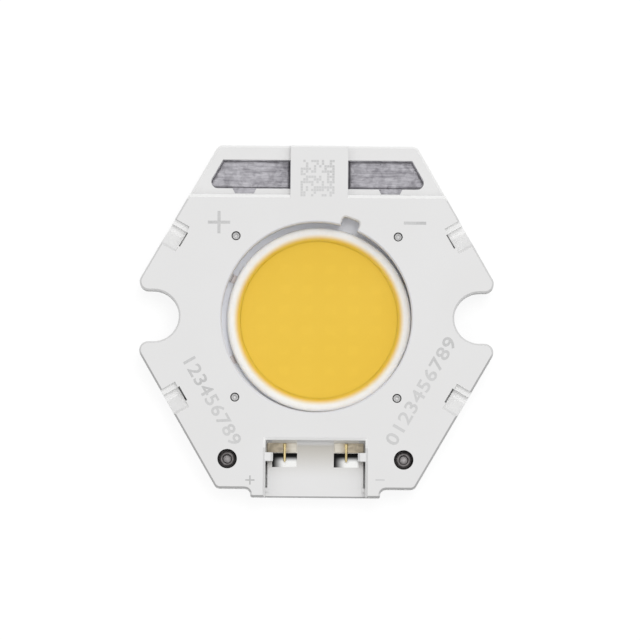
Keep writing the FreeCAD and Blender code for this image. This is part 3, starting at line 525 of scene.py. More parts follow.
def grained(name, pattern, tones, rough, depth, constants, share=1.0):
    """Material of two close colours, mixed by a grain of pattern grains and waves a millimetre."""
    look = Finish(name, constants)
    grain = look.grain(*pattern)
    look.paint("Base Color", look.blend(look.times(grain["Tone"], share), *tones))
    if rough:
        look.roughen(grain["Tone"], *rough)
    look.relief(grain["Height"], depth)


def streaked(name, pattern, tones, rough, share=1.0):
    """Metal of two close colours, mixed by pattern streaks and blotches a millimetre."""
    look = Finish(name, {"Metallic": 1.0})
    streaks = look.streaks(*pattern)
    look.paint("Base Color", look.blend(look.times(streaks["Blotch"], share), *tones))
    look.roughen(streaks["Streak"], *rough)
    look.relief(streaks["Streak"], 0.001 * MM)


@once
def insulating_film():
    tones = tints().film, tints().film_dull
    grained("insulating_film", (9.0, 2.0), tones, (0.3, 0.45), 0.003 * MM, {"IOR": 1.5}, 0.5)


@once
def chip_blue():
    tones = (0.35, 0.50, 0.72), (0.28, 0.40, 0.62)
    grained("chip_blue", (30.0, 4.0), tones, None, 0.001 * MM, {"Roughness": 0.2})


@once
def clear_adhesive():
    tones = (0.62, 0.61, 0.57), (0.52, 0.51, 0.47)
    grained("clear_adhesive", (4.0, 1.0), tones, (0.3, 0.5), 0.004 * MM, {"IOR": 1.45})


@once
def grey_ink():
    faded = tuple(0.5 * (ink + white) for ink, white in zip(tints().ink, tints().plastic))
    tones = tints().ink, faded
    grained("grey_ink", (18.0, 3.0), tones, (0.5, 0.65), 0.002 * MM, {"IOR": 1.45})


@once
def gold_plate():
    tones = tints().gold, scaled(tints().gold, 0.62)
    streaked("gold_plate", (16.0, 3.0), tones, (0.2, 0.36), 0.7)


@once
def dark_nickel():
    tones = tints().eyelet, scaled(tints().eyelet, 1.7)
    streaked("dark_nickel", (20.0, 4.0), tones, (0.25, 0.4))


def coated_trace(name, bare):
    """Trace under the film's coat, bare and brown where it comes out from under the dam."""
    look = Finish(name, {"Roughness": 0.35})
    streaks = look.streaks(16.0, 5.0)
    edge = DAM_OUTER_RADIUS / MM + 0.2
    shown = look.times(look.fade(look.reach(), edge - 0.05, edge + 0.05), bare)
    brown = look.blend(streaks["Blotch"], tints().tan, BROWN_TRACE)
    look.paint("Base Color", look.blend(shown, COATED_TRACE, brown))
    look.relief(streaks["Streak"], 0.001 * MM)


@once
def trace_left():
    coated_trace("trace_left", 0.25)


@once
def trace_right():
    coated_trace("trace_right", 0.2)


@once
def tan_plating():
    look = Finish("tan_plating", {"Metallic": 1.0})
    streaks = look.streaks(12.0, 3.0)
    base = look.blend(streaks["Blotch"], tints().tan, scaled(tints().tan, 0.7))
    across = look.far(look.axes()["X"])
    base = look.blend(look.fade(across, 1.3, 1.8), base, PALE_PLATING)
    dent = look.spots((1.815, 7.46), 0.05, 0.1)
    look.paint("Base Color", look.blend(dent, base, DENT_SHADE))
    look.roughen(streaks["Streak"], 0.3, 0.5)
    look.relief(streaks["Streak"], 0.002 * MM)


# Where the phosphor's colour thins out over the dam's inner flank, as radii in millimetres
TINT_START = FILL_RADIUS / MM - 0.17
TINT_END = FILL_RADIUS / MM + 0.22


@once
def white_silicone():
    """White bead with a breath of yellow on its inner flank."""
    look = Finish("white_silicone", {
        "IOR": 1.43, "Subsurface Weight": 1.0, "Subsurface Radius": (1.0, 0.95, 0.88),
        "Subsurface Scale": 0.25 * MM,
    })
    grain = look.grain(5.0, 1.5)
    white = look.blend(grain["Tone"], tints().dam, scaled(tints().dam, 0.95))
    thin = look.ramp(look.reach(), TINT_START, TINT_END)
    look.paint("Base Color", look.blend(thin, tints().phosphor, white))
    look.roughen(grain["Tone"], 0.14, 0.24)
    look.relief(grain["Height"], 0.003 * MM)


@once
def phosphor_silicone():
    """Yellow fill: chips glimmer through in rows, and the colour thins out at the rim."""
    look = Finish("phosphor_silicone", {"IOR": 1.42})
    axes = look.axes((CENTRE_X, CENTRE_Y, 0.0))
    reach = look.reach()
    chips = look.fade(reach, 3.9, 4.4)
    for axis, pitch, half in (("X", 1.35, 0.30), ("Y", 1.2, 0.26)):
        share = look.math("FRACT", look.math("DIVIDE", axes[axis], pitch))
        offset = look.times(look.far(look.minus(share, 0.5)), pitch)
        chips = look.times(chips, look.fade(offset, half - 0.1, half + 0.12))
    grain = look.grain(13.0, 1.4)
    uneven = look.ramp(look.noise(look.position(), 1.7, detail=3.0), 0.35, 0.65)
    shown = look.times(chips, look.plus(0.3, look.times(uneven, 0.7)))
    depth = look.minus(0.4, look.times(shown, 0.24))
    depth = look.plus(depth, look.times(grain["Tone"], 0.2), clamp=True)
    body = look.blend(depth, tints().phosphor, tints().phosphor_deep)
    look.paint("Base Color", look.blend(look.ramp(reach, TINT_START, TINT_END), body, tints().dam))
    look.roughen(grain["Tone"], 0.3, 0.42)
    look.relief(look.plus(grain["Height"], look.times(shown, 0.8)), 0.004 * MM)


# X of the two pad windows' inner ends, in millimetres: the raised strip's shade is painted on the
# solder there
STRIP_ENDS = (-1.59, 1.79)


def tinned(look, share):
    """Solder-coated metal with wiped streaks, dull blotches, dark specks and a painted shade by the
    strip.
    """
    streaks = look.streaks(8.0, 2.6)
    specks = look.specks(2.4, 0.09)
    grain = look.grain(22.0, 5.0)
    marks = look.plus(streaks["Streak"], look.times(streaks["Blotch"], 0.6))
    marks = look.plus(marks, look.times(grain["Tone"], 0.4))
    base = look.blend(look.times(marks, share), tints().tin, tints().tin_dark)
    x = look.axes()["X"]
    ends = [look.far(look.minus(x, end)) for end in STRIP_ENDS]
    # Painted shade where the raised strip stands by the solder's end, joined below with dark specks
    near = look.ramp(look.math("MINIMUM", *ends), 0.05, 0.24, 0.6, 0.0)
    dark = look.most(look.times(specks["Mask"], 0.6), near)
    look.roughen(streaks["Blotch"], 0.32, 0.5)
    look.relief(marks, 0.005 * MM)
    return look.blend(dark, base, GRIT_AND_SHADE_TIN)


@once
def solder_coat():
    look = Finish("solder_coat", {"Metallic": 1.0})
    look.paint("Base Color", tinned(look, 0.46))


@once
def tinned_lead():
    """Lead frame: painted light with bright rings under the small round holes, pale at its feet and
    in the port.
    """
    look = Finish("tinned_lead")
    base = tinned(look, 0.34)
    # Painted light under each small round hole: a grey floor that is not metallic, with a bright
    # ring
    inside = look.spots(PIPS, 0.3, 0.36)
    ring = look.minus(look.spots(PIPS, 0.17, 0.2), look.spots(PIPS, 0.05, 0.09))
    base = look.blend(inside, base, look.blend(ring, HOLE_FLOOR_PAINTED_LIGHT, HOLE_RING_PAINTED_LIGHT))
    port_end = look.fade(look.axes()["Y"], -7.1, -6.9)
    feet = look.fade(look.reach(0.0, 0.0), 5.9, 6.0)
    pale = look.most(port_end, feet)
    look.paint("Base Color", look.blend(pale, base, PALE_TIN))
    look.paint("Metallic", look.minus(1.0, look.most(inside, pale)))


@once
def pale_nickel():
    look = Finish("pale_nickel", {"Roughness": 0.45})
    streaks = look.streaks(14.0, 6.0)
    look.paint("Base Color", look.blend(streaks["Blotch"], (0.54, 0.52, 0.52), (0.43, 0.41, 0.41)))
    look.relief(streaks["Blotch"], 0.003 * MM)


# ---- Mesh building ----


def dress(node, finish):
    """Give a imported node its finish."""
    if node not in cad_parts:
        raise RuntimeError("The packed model has no node " + node)
    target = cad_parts[node]
    target.data.materials.clear()
    target.data.materials.append(finish)


def add_piece(name, vertices, faces, finish, slot, replaced=(), smooth=True):
    """Add one mesh piece that rides on the module, closed and with its faces outwards."""
    mesh = bpy.data.meshes.new(name)
    mesh.from_pydata(vertices, [], faces)
    mesh.validate()
    mesh.shade_smooth() if smooth else mesh.shade_flat()
    return add_mesh(name, mesh, finish, replaced)


def add_mesh(name, mesh, finish, replaced=()):
    if not mesh.polygons:
        raise RuntimeError("No faces were made for " + name)
    mesh.materials.append(finish)
    piece = bpy.data.objects.new(name, mesh)
    bpy.context.scene.collection.objects.link(piece)
    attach(piece, "root")
    if replaced:
        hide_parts(*replaced)
    return piece


def bridge(faces, first, second, count):
    """Join two closed rows of points with four-sided faces."""
    for step in range(count):
        after = (step + 1) % count
        faces.append((first + step, first + after, second + after, second + step))


def capped_stack(rings):
    """Join rings of points, one above the other, into a closed solid."""
    count = len(rings[0])
    vertices = [point for ring in rings for point in ring]
    faces = []
    for ring in range(len(rings) - 1):
        bridge(faces, ring * count, (ring + 1) * count, count)
    faces.append(tuple(reversed(range(count))))
    faces.append(tuple(range(len(vertices) - count, len(vertices))))
    return vertices, faces


def turned_ring(section, steps, centre, warp=None):
    """Sweep a closed section of (radius, height) once round an upright axis."""
    vertices, faces = [], []
    for step in range(steps):
        angle = math.tau * step / steps
        for radius, height in section:
            if warp:
                radius, height = warp(angle, radius, height)
            x = centre[0] + radius * math.cos(angle)
            y = centre[1] + radius * math.sin(angle)
            vertices.append((x, y, height))
    count = len(section)
    for step in range(steps):
        bridge(faces, step * count, (step + 1) % steps * count, count)
    return vertices, faces


def arc(centre, radius, start, end, steps):
    """Points of an arc in degrees, both ends included."""
    points = []
    for step in range(steps + 1):
        angle = math.radians(start + (end - start) * step / steps)
        points.append((centre[0] + radius * math.cos(angle), centre[1] + radius * math.sin(angle)))
    return points


def circle(centre, radius, steps):
    """Corners of a circle, the first one towards the first axis."""
    return arc(centre, radius, 0, 360 - 360 / steps, steps - 1)


def slab(outline, low, high, vertices, faces, inset=0.0):
    """Add a flat prism over a convex outline, its top edge drawn in by the inset."""
    middle = sum((Vector(point) for point in outline), Vector((0, 0))) / len(outline)
    first = len(vertices)
    for height, drawn in ((low, 0.0), (high, inset)):
        for point in outline:
            spoke = Vector(point) - middle
            spot = middle + spoke * (1 - drawn / max(spoke.length, inset + 1e-9))
            vertices.append((spot.x, spot.y, height))
    count = len(outline)
    faces.append(tuple(reversed(range(first, first + count))))
    faces.append(tuple(range(first + count, first + 2 * count)))
    bridge(faces, first, first + count, count)


# ---- Pieces ----


def make_dam():
    """Bead of silicone as it is laid: a round crown, a little wander, an overlap at its ends."""
    size = sizes()
    outer, inner = DAM_OUTER_RADIUS + size.dam_spread, FILL_RADIUS - size.dam_lap
    foot, crown = PLATE_TOP, DAM_HIGH.z
    width, rise = outer - inner, crown - foot
    middle = (outer + inner) / 2
    flank = (
        (0.0, 0.0), (0.975, 0.0), (1.0, 0.3), (0.995, 0.6), (0.97, 0.77), (0.93, 0.88),
        (0.87, 0.955), (0.80, 0.99), (0.70, 1.0), (0.58, 0.99), (0.46, 0.965), (0.34, 0.925),
        (0.23, 0.865), (0.13, 0.795), (0.06, 0.73), (0.0, 0.665), (0.0, 0.3),
    )
    section = [(inner + width * across, foot + rise * up) for across, up in flank]
    seam, seam_width = math.radians(205), 0.07
    window_gap = 0.015 * MM

    def warp(angle, radius, height):
        share = (height - foot) / rise
        away = abs((angle - seam + math.pi) % math.tau - math.pi)
        lump = math.exp(-(away / seam_width) ** 2)
        stray = size.dam_wander * (math.sin(3 * angle + 1.0) + 0.6 * math.sin(7 * angle + 2.2))
        radius += stray * share
        radius += (radius - middle) * 0.03 * lump
        height -= size.dam_overlap * share * (1 - lump)
        lean = CENTRE_X * math.cos(angle) + CENTRE_Y * math.sin(angle)
        free = math.sqrt(WINDOW_RADIUS ** 2 - CENTRE_X ** 2 - CENTRE_Y ** 2 + lean ** 2) - lean
        return min(radius, free - window_gap), height

    vertices, faces = turned_ring(section, 240, (CENTRE_X, CENTRE_Y), warp)
    add_piece("dam_bead", vertices, faces, white_silicone(), "dam", ("dam_ring",))


def make_phosphor():
    """Fill with a level middle that climbs the dam in a hollow curve."""
    size = sizes()
    level = PLATE_TOP + size.fill_level
    rise = FILL_HIGH.z - level
    radius = FILL_RADIUS - size.dam_lap + 0.02 * MM
    rings, steps = 56, 192
    centre = (CENTRE_X, CENTRE_Y)
    vertices = [(*centre, level)]
    for ring in range(1, rings + 1):
        share = 1 - (1 - ring / rings) ** 1.5
        climb = max(0.0, 1 - (radius * (1 - share)) / size.meniscus_width)
        for x, y in circle(centre, radius * share, steps):
            swell = 0.006 * MM * noise.noise(Vector((x, y, 0.0)) / (1.6 * MM))
            vertices.append((x, y, level + rise * climb ** 3 + swell * (1 - climb)))
    faces = [(0, 1 + step, 1 + (step + 1) % steps) for step in range(steps)]
    for ring in range(rings - 1):
        bridge(faces, 1 + ring * steps, 1 + (ring + 1) * steps, steps)
    foot = len(vertices)
    vertices += [(x, y, PLATE_TOP) for x, y in circle(centre, radius, steps)]
    bridge(faces, 1 + (rings - 1) * steps, foot, steps)
    vertices.append((*centre, PLATE_TOP))
    faces += [(foot + (step + 1) % steps, foot + step, len(vertices) - 1) for step in range(steps)]
    faces = [tuple(reversed(face)) if len(face) == 4 else face for face in faces]
    finish = phosphor_silicone()
    add_piece("phosphor_surface", vertices, faces, finish, "phosphor", ("phosphor_fill",))


# Windows over the solder pads: pole, side and distance of the raised strip's edge, then the low
# and high y, the slanted end's distance from the middle, and the cut corner
PAD_WINDOWS = (("positive", -1, -STRIP_ENDS[0] * MM), ("negative", 1, STRIP_ENDS[1] * MM))
PAD_LOW, PAD_HIGH = 7.56 * MM, 9.26 * MM
PAD_SLANT_REACH = 9.45 * MM
PAD_CORNER = 0.4 * MM


def slant_x(reach, y):
    """X of a slanted side at the given y, out of the side's distance from the middle."""
    return (reach - 0.5 * y) / math.cos(math.radians(30))


def edge_gap(point, outline):
    """Distance from a point inside an outline to its nearest side."""
    gaps = []
    for start, end in zip(outline, outline[1:] + outline[:1]):
        start, along = Vector(start), Vector(end) - Vector(start)
        share = max(0.0, min(1.0, (point - start).dot(along) / along.length_squared))
        gaps.append((point - start - along * share).length)
    return min(gaps)


def is_inside(point, outline):
    inside = False
    for start, end in zip(outline, outline[1:] + outline[:1]):
        if (start[1] > point.y) != (end[1] > point.y):
            share = (point.y - start[1]) / (end[1] - start[1])
            if point.x < start[0] + (end[0] - start[0]) * share:
                inside = not inside
    return inside


def make_tin_coats():
    """Solder left on each pad: thick in the middle, thin and wavy towards the window."""
    size = sizes()
    pitch, shoulder, thinnest = 0.09 * MM, 0.32 * MM, 0.002 * MM
    for pole, sign, strip_edge in PAD_WINDOWS:
        margin = size.tin_margin
        low, high = PAD_LOW + margin, PAD_HIGH - margin
        inner = strip_edge + margin
        slant = PAD_SLANT_REACH - margin
        cut = PAD_CORNER * 0.6
        corner = low + cut * 0.8
        outline = [
            (inner, low), (slant_x(slant, low) - cut, low), (slant_x(slant, corner), corner),
            (slant_x(slant, high), high), (inner, high),
        ]
        draw = random.Random(11 if sign > 0 else 23)
        points = []
        for start, end in zip(outline, outline[1:] + outline[:1]):
            span = Vector(end) - Vector(start)
            count = max(1, round(span.length / pitch))
            points += [Vector(start) + span * step / count for step in range(count)]
        border = len(points)
        for row in range(int((high - low) / pitch) + 1):
            for column in range(int((slant_x(slant, low) - inner) / pitch) + 1):
                spot = Vector((inner + column * pitch, low + row * pitch))
                spot += Vector((draw.uniform(-0.2, 0.2), draw.uniform(-0.2, 0.2))) * pitch
                if is_inside(spot, outline) and edge_gap(spot, outline) > pitch * 0.5:
                    points.append(spot)
        edges = [(step, (step + 1) % border) for step in range(border)]
        flat, _, triangles, *_ = delaunay_2d_cdt(points, edges, [], 1, 1e-9)
        floor = LEAD_TOP - 0.01 * MM
        vertices = []
        for spot in flat:
            gap = edge_gap(spot, outline)
            body = min(1.0, gap / shoulder)
            swell = 0.7 + 0.5 * noise.noise(Vector((spot.x, spot.y * 1.8, sign)) / (0.8 * MM))
            thick = size.tin_thickness * math.sqrt(body * (2 - body)) * swell
            vertices.append((sign * spot.x, spot.y, LEAD_TOP + max(thick, thinnest)))
        count = len(vertices)
        vertices += [(x, y, floor) for x, y, _ in vertices]
        faces = []
        for face in triangles:
            turned = tuple(face) if sign > 0 else tuple(reversed(face))
            faces.append(turned)
            faces.append(tuple(count + index for index in reversed(turned)))
        for start, end in edges:
            side = (start, start + count, end + count, end)
            faces.append(side if sign > 0 else tuple(reversed(side)))
        add_piece("tin_coat_" + pole, vertices, faces, solder_coat(), "tin")


def make_contacts():
    """Plated plate with a round pin that tapers over the opening."""
    size = sizes()
    plate_length, bevel = 0.55 * MM, 0.02 * MM
    for pole in ("positive", "negative"):
        node = "port_contact_" + pole
        low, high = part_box(node)
        rear = high.y
        front = rear - plate_length
        plate_top = high.z - size.pin_radius
        left = low.x - (size.plate_wing if pole == "positive" else 0.0)
        right = high.x + (size.plate_wing if pole == "negative" else 0.0)
        outline = [
            (left + bevel, front), (right - bevel, front), (right, front + bevel),
            (right, rear - bevel), (right - bevel, rear), (left + bevel, rear),
            (left, rear - bevel), (left, front + bevel),
        ]
        vertices, faces = [], []
        slab(outline, low.z, plate_top - bevel, vertices, faces)
        slab(outline, plate_top - bevel, plate_top, vertices, faces, inset=bevel)
        name = "contact_plate_" + pole
        add_piece(name, vertices, faces, tan_plating(), "gold", (node,), smooth=False)

        middle = ((low.x + high.x) / 2, plate_top)
        stations = (
            (rear - 0.02 * MM, 0.92), (rear - 0.05 * MM, 1.0), (rear - 0.22 * MM, 1.0),
            (rear - 0.27 * MM, 0.8), (front - 0.1 * MM, 0.78), (low.y + 0.16 * MM, 0.74),
            (low.y + 0.06 * MM, 0.6), (low.y + 0.01 * MM, 0.34),
        )
        rings = [[(x, y, z) for x, z in circle(middle, size.pin_radius * share, 24)]
                 for y, share in stations]
        vertices, faces = capped_stack(rings)
        add_piece("contact_pin_" + pole, vertices, faces, gold_plate(), "gold")


def make_eyelets():
    """Eyelets with a rolled lip, a shallow closed cup and a flared foot."""
    size = sizes()
    for side in ("left", "right"):
        node = "eyelet_" + side
        low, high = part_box(node)
        centre = ((low.x + high.x) / 2, (low.y + high.y) / 2)
        bore, barrel, flange = 0.25 * MM, 0.41 * MM, 0.54 * MM
        flare, top = (high.x - low.x) / 2, high.z
        seat = PLATE_TOP + 0.5 * MM
        section = [(bore, low.z + 0.03 * MM)]
        section += arc((bore + 0.03 * MM, low.z + 0.03 * MM), 0.03 * MM, 180, 270, 3)[1:]
        section += [(flare - 0.02 * MM, low.z), (flare, low.z + 0.015 * MM), (barrel, 0.2 * MM)]
        section += [(barrel, seat - 0.001 * MM), (flange - 0.02 * MM, seat)]
        section += [(flange, seat + 0.02 * MM)]
        section += [(flange, top - 0.5 * MM), (flange - 0.02 * MM, top - 0.36 * MM)]
        section += [(0.49 * MM, top - 0.23 * MM), (0.44 * MM, top - 0.13 * MM)]
        section += arc((bore + 0.09 * MM, top - 0.09 * MM), 0.09 * MM, 30, 180, 10)
        vertices, faces = turned_ring(section, 64, centre)
        add_piece("eyelet_ring_" + side, vertices, faces, dark_nickel(), "eyelet_metal", (node,))
        rim = circle(centre, bore + 0.02 * MM, 24)
        vertices, faces = [], []
        slab(rim, top - 0.5 * MM, top - size.cup_depth, vertices, faces, inset=0.05 * MM)
        add_piece("eyelet_cup_" + side, vertices, faces, pale_nickel(), "eyelet_metal")


def make_stakes():
    """Head of the stake in each small round hole, with a dimple where it was pressed."""
    size = sizes()
    top = HOUSING_TOP - size.stake_sink
    profile = (
        (0.95, LEAD_TOP), (1.0, top - 0.05 * MM), (0.94, top - 0.015 * MM), (0.85, top),
        (0.66, top), (0.55, top - 0.08 * MM), (0.35, top - 0.2 * MM),
    )
    corners = (("stake_1", -1, 1), ("stake_2", 1, 1), ("stake_3", -1, -1), ("stake_4", 1, -1))
    for name, across, up in corners:
        centre = (across * PIPS[0] * MM, up * PIPS[1] * MM)
        rings = [[(x, y, height) for x, y in circle(centre, size.stake_radius * share, 32)]
                 for share, height in profile]
        add_piece(name, *capped_stack(rings), white_moulding(), "housing_plastic")


def ink_bounds():
    top = HOUSING_TOP + sizes().ink_height
    return HOUSING_TOP - 0.01 * MM, top


def sign_outline(reach, stroke, plus):
    """Corners of a plus or a minus sign about its centre."""
    half = stroke / 2
    if not plus:
        return [(-reach, -half), (reach, -half), (reach, half), (-reach, half)]
    quarter = [(half, -reach), (half, -half), (reach, -half)]
    corners = []
    for turn in range(4):
        spin = Matrix.Rotation(turn * math.pi / 2, 2)
        corners += [tuple(spin @ Vector(point)) for point in quarter]
    return corners


def make_signs():
    """Pole signs printed beside the pads and beside the port."""
    size = sizes()
    low, high = ink_bounds()
    signs = (
        ("sign_plus_large", (-5.78, 5.54), size.sign_reach, size.sign_stroke, True),
        ("sign_minus_large", (5.75, 5.57), size.sign_reach, size.sign_stroke, False),
        ("sign_plus_small", (-3.84, -9.62), size.small_reach, size.small_stroke, True),
        ("sign_minus_small", (3.81, -9.56), size.small_reach, size.small_stroke, False),
    )
    for name, centre, reach, stroke, plus in signs:
        corners = sign_outline(reach, stroke, plus)
        spots = [(centre[0] * MM + x, centre[1] * MM + y) for x, y in corners]
        rings = [[(x, y, height) for x, y in spots] for height in (low, high)]
        add_piece(name, *capped_stack(rings), grey_ink(), "housing_plastic", smooth=False)


def make_number_rows():
    """A row of plain figures along each lower slanted side."""
    size = sizes()
    low, high = ink_bounds()
    font_size_per_height, spacing = 1.37, 1.08
    rows = (
        ("figures_left", "123456789", (-6.15, -4.95), -SLANT_ANGLE, 0.66 * MM),
        ("figures_right", "0123456789", (6.21, -4.33), SLANT_ANGLE, 0.74 * MM),
    )
    for name, figures, centre, turn, pitch in rows:
        curve = bpy.data.curves.new(name, "FONT")
        curve.body = figures
        curve.size = size.digit_height * font_size_per_height
        curve.space_character = spacing
        curve.align_x, curve.align_y = "CENTER", "CENTER"
        curve.offset = size.digit_weight
        curve.extrude = (high - low) / 2
        curve.resolution_u = 3
        source = bpy.data.objects.new(name + "_source", curve)
        mesh = bpy.data.meshes.new_from_object(source)
        bpy.data.objects.remove(source)
        bpy.data.curves.remove(curve)
        reaches = [vertex.co.x for vertex in mesh.vertices]
        wanted = pitch * (len(figures) - 0.3)
        mesh.transform(Matrix.Diagonal((wanted / (max(reaches) - min(reaches)), 1.0, 1.0, 1.0)))
        shift = Matrix.Translation((centre[0] * MM, centre[1] * MM, (low + high) / 2))
        mesh.transform(shift @ Matrix.Rotation(turn, 4, "Z"))
        mesh.name = name
        add_mesh(name, mesh, grey_ink())


def make_cell_patch():
    """Faint patch of chance cells on the strip between the pads."""
    size = sizes()
    low, high = ink_bounds()
    columns, rows = 13, 14
    left, bottom = -1.0 * MM, 7.1 * MM
    draw = random.Random(5)
    vertices, faces = [], []
    tile = size.cell_pitch * 0.9
    for column in range(columns):
        for row in range(rows):
            if draw.random() < 0.5:
                continue
            x, y = left + column * size.cell_pitch, bottom + row * size.cell_pitch
            outline = [(x, y), (x + tile, y), (x + tile, y + tile), (x, y + tile)]
            slab(outline, low, high, vertices, faces)
    add_piece("cell_patch", vertices, faces, grey_ink(), "housing_plastic", smooth=False)


# ---- Stage ----

FLOOR_REACH, FLOOR_DROP = 0.6, 0.005 * MM
# How bright the floor shows to the rays that see the background
FLOOR_GLOW = 0.84
LAMP_DIRECTION, LAMP_DISTANCE, LAMP_WIDTH = (0.12, 0.24, 1.1), 0.3, 0.12
SENSOR_WIDTH = 36.0


def background_rays(desk):
    """Mask of the rays that see the background white: the camera's, in gloss and through glass."""
    ray = desk.add("LightPath").outputs
    kinds = ("Is Camera Ray", "Is Glossy Ray", "Is Transmission Ray")
    return desk.most(*[ray[kind] for kind in kinds])


def floor_material():
    """Pale floor, white to the camera where nothing shades it, and clear when seen from below."""
    look = Finish("pale_floor", {"Roughness": 0.9})
    grain = look.grain(2.0, 0.2)
    dull = scaled(tints().floor, 0.97)
    look.paint("Base Color", look.blend(grain["Tone"], tints().floor, dull))
    glow = look.add("Emission", {"Color": (1.0, 1.0, 1.0, 1.0), "Strength": FLOOR_GLOW})
    part = look.add("MixShader", {"Fac": background_rays(look)})
    look.feed(part.inputs[2], glow.outputs[0])
    total = look.add("AddShader")
    look.feed(total.inputs[0], look.shader.outputs[0])
    look.feed(total.inputs[1], part.outputs[0])
    under = look.add("MixShader", {"Fac": look.add("NewGeometry").outputs["Backfacing"]})
    look.feed(under.inputs[1], total.outputs[0])
    look.feed(under.inputs[2], look.add("BsdfTransparent").outputs[0])
    output = look.tree.nodes["Material Output"]
    look.feed(output.inputs["Surface"], under.outputs[0])
    return look.material


def make_floor():
    mesh = bpy.data.meshes.new("floor")
    turns = ((-1, -1), (1, -1), (1, 1), (-1, 1))
    corners = [(x * FLOOR_REACH, y * FLOOR_REACH, 0) for x, y in turns]
    mesh.from_pydata(corners, [], [(0, 1, 2, 3)])
    mesh.materials.append(floor_material())
    floor = bpy.data.objects.new("floor", mesh)
    floor.location.z = CAD_BOX[0].z - FLOOR_DROP
    bpy.context.scene.collection.objects.link(floor)


def make_world():
    """White behind the object for the camera and in gloss; as a light, brightest above the pads."""
    stage = bpy.context.scene.led_stage
    world = bpy.data.worlds.new("studio")
    world.use_nodes = True
    bpy.context.scene.world = world
    desk = Desk(world.node_tree)
    _, y, z = desk.add("SeparateXYZ", {"Vector": desk.add("TexCoord").outputs["Generated"]}).outputs
    glow = desk.add("MapRange", {
        "Value": desk.plus(z, desk.times(y, stage.sky_lean)),
        "To Min": stage.horizon_strength, "To Max": stage.zenith_strength,
    })
    background = world.node_tree.nodes["Background"]
    background.inputs["Color"].default_value = (1.0, 1.0, 1.0, 1.0)
    desk.feed(background.inputs["Strength"], desk.most(background_rays(desk), glow.outputs[0]))


def make_lamp():
    """Small main lamp that leans to the pads' side and stays out of the reflections."""
    data = bpy.data.lights.new("key_lamp", "AREA")
    data.shape = "DISK"
    data.size = LAMP_WIDTH
    data.energy = bpy.context.scene.led_stage.key_power
    lamp = bpy.data.objects.new("key_lamp", data)
    lamp.location = Vector(LAMP_DIRECTION).normalized() * LAMP_DISTANCE
    lamp.rotation_euler = lamp.location.to_track_quat("Z", "Y").to_euler()
    lamp.visible_glossy = False
    bpy.context.scene.collection.objects.link(lamp)


def make_camera():
    """Long lens over the module, leaning a little to the port's side."""
    stage = bpy.context.scene.led_stage
    data = bpy.data.cameras.new("camera")
    data.lens = stage.lens
    data.sensor_width = SENSOR_WIDTH
    distance = stage.image_width * stage.lens / data.sensor_width
    camera = bpy.data.objects.new("camera", data)
    target = Vector((stage.aim_x, stage.aim_y, HOUSING_TOP))
    lean = Matrix.Rotation(stage.roll, 3, "Z") @ Matrix.Rotation(stage.tilt, 3, "X")
    spot = target + lean @ Vector((0, 0, distance))
    camera.matrix_world = Matrix.Translation(spot) @ lean.to_4x4()
    data.clip_start, data.clip_end = distance * 0.1, distance * 4
    bpy.context.scene.collection.objects.link(camera)
    bpy.context.scene.camera = camera


# ---- Operators ----


class LED_OT_stage(bpy.types.Operator):
    """Set up the floor, the light and the camera"""

    bl_idname = "led.stage"
    bl_label = "Stage"

    def execute(self, context):
        context.scene.view_settings.view_transform = "Standard"
        make_camera()
        make_world()
        make_floor()
        make_lamp()
        return {"FINISHED"}


class LED_OT_packed_finishes(bpy.types.Operator):
    """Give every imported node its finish"""

    bl_idname = "led.packed_finishes"
    bl_label = "Packed nodes"

    def execute(self, context):
        finishes = {
            "base_plate": rolled_aluminium, "adhesive_strip": clear_adhesive,
            "dielectric_film": insulating_film, "trace_positive": trace_left,
            "trace_negative": trace_right, "led_dies": chip_blue, "bond_wires": gold_plate,
            "dam_ring": white_silicone, "phosphor_fill": phosphor_silicone,
            "lead_frame_positive": tinned_lead, "lead_frame_negative": tinned_lead,
            "housing": white_moulding, "port_contact_positive": gold_plate,
            "port_contact_negative": gold_plate, "eyelet_left": dark_nickel,
            "eyelet_right": dark_nickel,
        }
        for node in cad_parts:
            finish = finishes.get(node, pale_nickel)
            dress(node, finish())
        return {"FINISHED"}


class LED_OT_dam(bpy.types.Operator):
    """Lay the silicone dam"""

    bl_idname = "led.dam"
    bl_label = "Dam"

    def execute(self, context):
        make_dam()
        return {"FINISHED"}


class LED_OT_phosphor(bpy.types.Operator):
    """Pour the phosphor fill"""

    bl_idname = "led.phosphor"
    bl_label = "Phosphor"

    def execute(self, context):
        make_phosphor()
        return {"FINISHED"}


class LED_OT_tin_coats(bpy.types.Operator):
    """Tin the solder pads"""

    bl_idname = "led.tin_coats"
    bl_label = "Tinned pads"

    def execute(self, context):
        make_tin_coats()
        return {"FINISHED"}


class LED_OT_contacts(bpy.types.Operator):
    """Make the port's contacts"""

    bl_idname = "led.contacts"
    bl_label = "Port contacts"

    def execute(self, context):
        make_contacts()
        return {"FINISHED"}


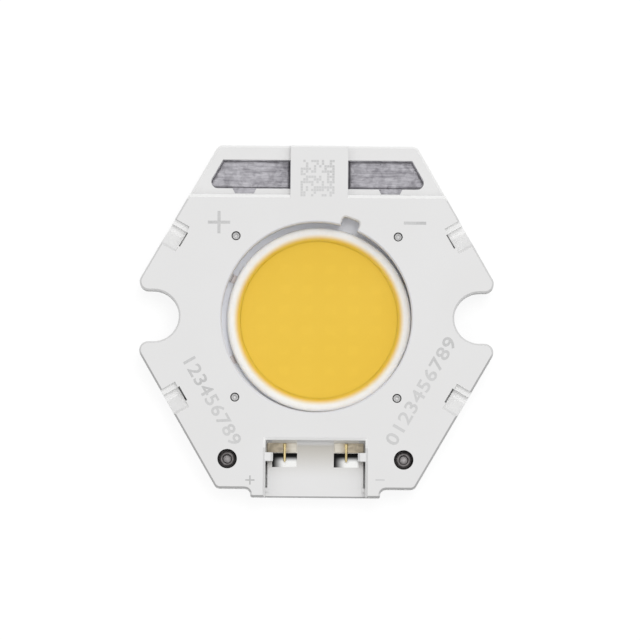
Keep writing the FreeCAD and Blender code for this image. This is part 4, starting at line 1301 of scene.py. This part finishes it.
class LED_OT_eyelets(bpy.types.Operator):
    """Turn the two eyelets"""

    bl_idname = "led.eyelets"
    bl_label = "Eyelets"

    def execute(self, context):
        make_eyelets()
        return {"FINISHED"}


class LED_OT_stakes(bpy.types.Operator):
    """Set the four stakes"""

    bl_idname = "led.stakes"
    bl_label = "Stakes"

    def execute(self, context):
        make_stakes()
        return {"FINISHED"}


class LED_OT_signs(bpy.types.Operator):
    """Print the pole signs, the rows of figures and the patch of cells"""

    bl_idname = "led.signs"
    bl_label = "Printed signs"

    def execute(self, context):
        make_signs()
        make_number_rows()
        make_cell_patch()
        return {"FINISHED"}


STEPS = (
    LED_OT_stage, LED_OT_packed_finishes, LED_OT_dam, LED_OT_phosphor, LED_OT_tin_coats,
    LED_OT_contacts, LED_OT_eyelets, LED_OT_stakes, LED_OT_signs,
)


class LED_PT_module(bpy.types.Panel):
    """Lists the steps and the values that they use"""

    bl_idname = "LED_PT_module"
    bl_label = "COB LED"
    bl_space_type = "VIEW_3D"
    bl_region_type = "UI"
    bl_category = "COB LED"

    def draw(self, context):
        for step in STEPS:
            self.layout.operator(step.bl_idname)
        for group in (context.scene.led_sizes, context.scene.led_colours, context.scene.led_stage):
            for name in group.bl_rna.properties.keys():
                if name not in ("rna_type", "name"):
                    self.layout.prop(group, name)


CLASSES = (LedSizes, LedColours, LedStage) + STEPS + (LED_PT_module,)


def register():
    for item in CLASSES:
        bpy.utils.register_class(item)
    bpy.types.Scene.led_sizes = PointerProperty(type=LedSizes)
    bpy.types.Scene.led_colours = PointerProperty(type=LedColours)
    bpy.types.Scene.led_stage = PointerProperty(type=LedStage)


def unregister():
    del bpy.types.Scene.led_stage
    del bpy.types.Scene.led_colours
    del bpy.types.Scene.led_sizes
    for item in reversed(CLASSES):
        bpy.utils.unregister_class(item)


def main():
    register()
    bpy.ops.led.stage()
    bpy.ops.led.packed_finishes()
    bpy.ops.led.dam()
    bpy.ops.led.phosphor()
    bpy.ops.led.tin_coats()
    bpy.ops.led.contacts()
    bpy.ops.led.eyelets()
    bpy.ops.led.stakes()
    bpy.ops.led.signs()


if __name__ == "__main__":
    main()
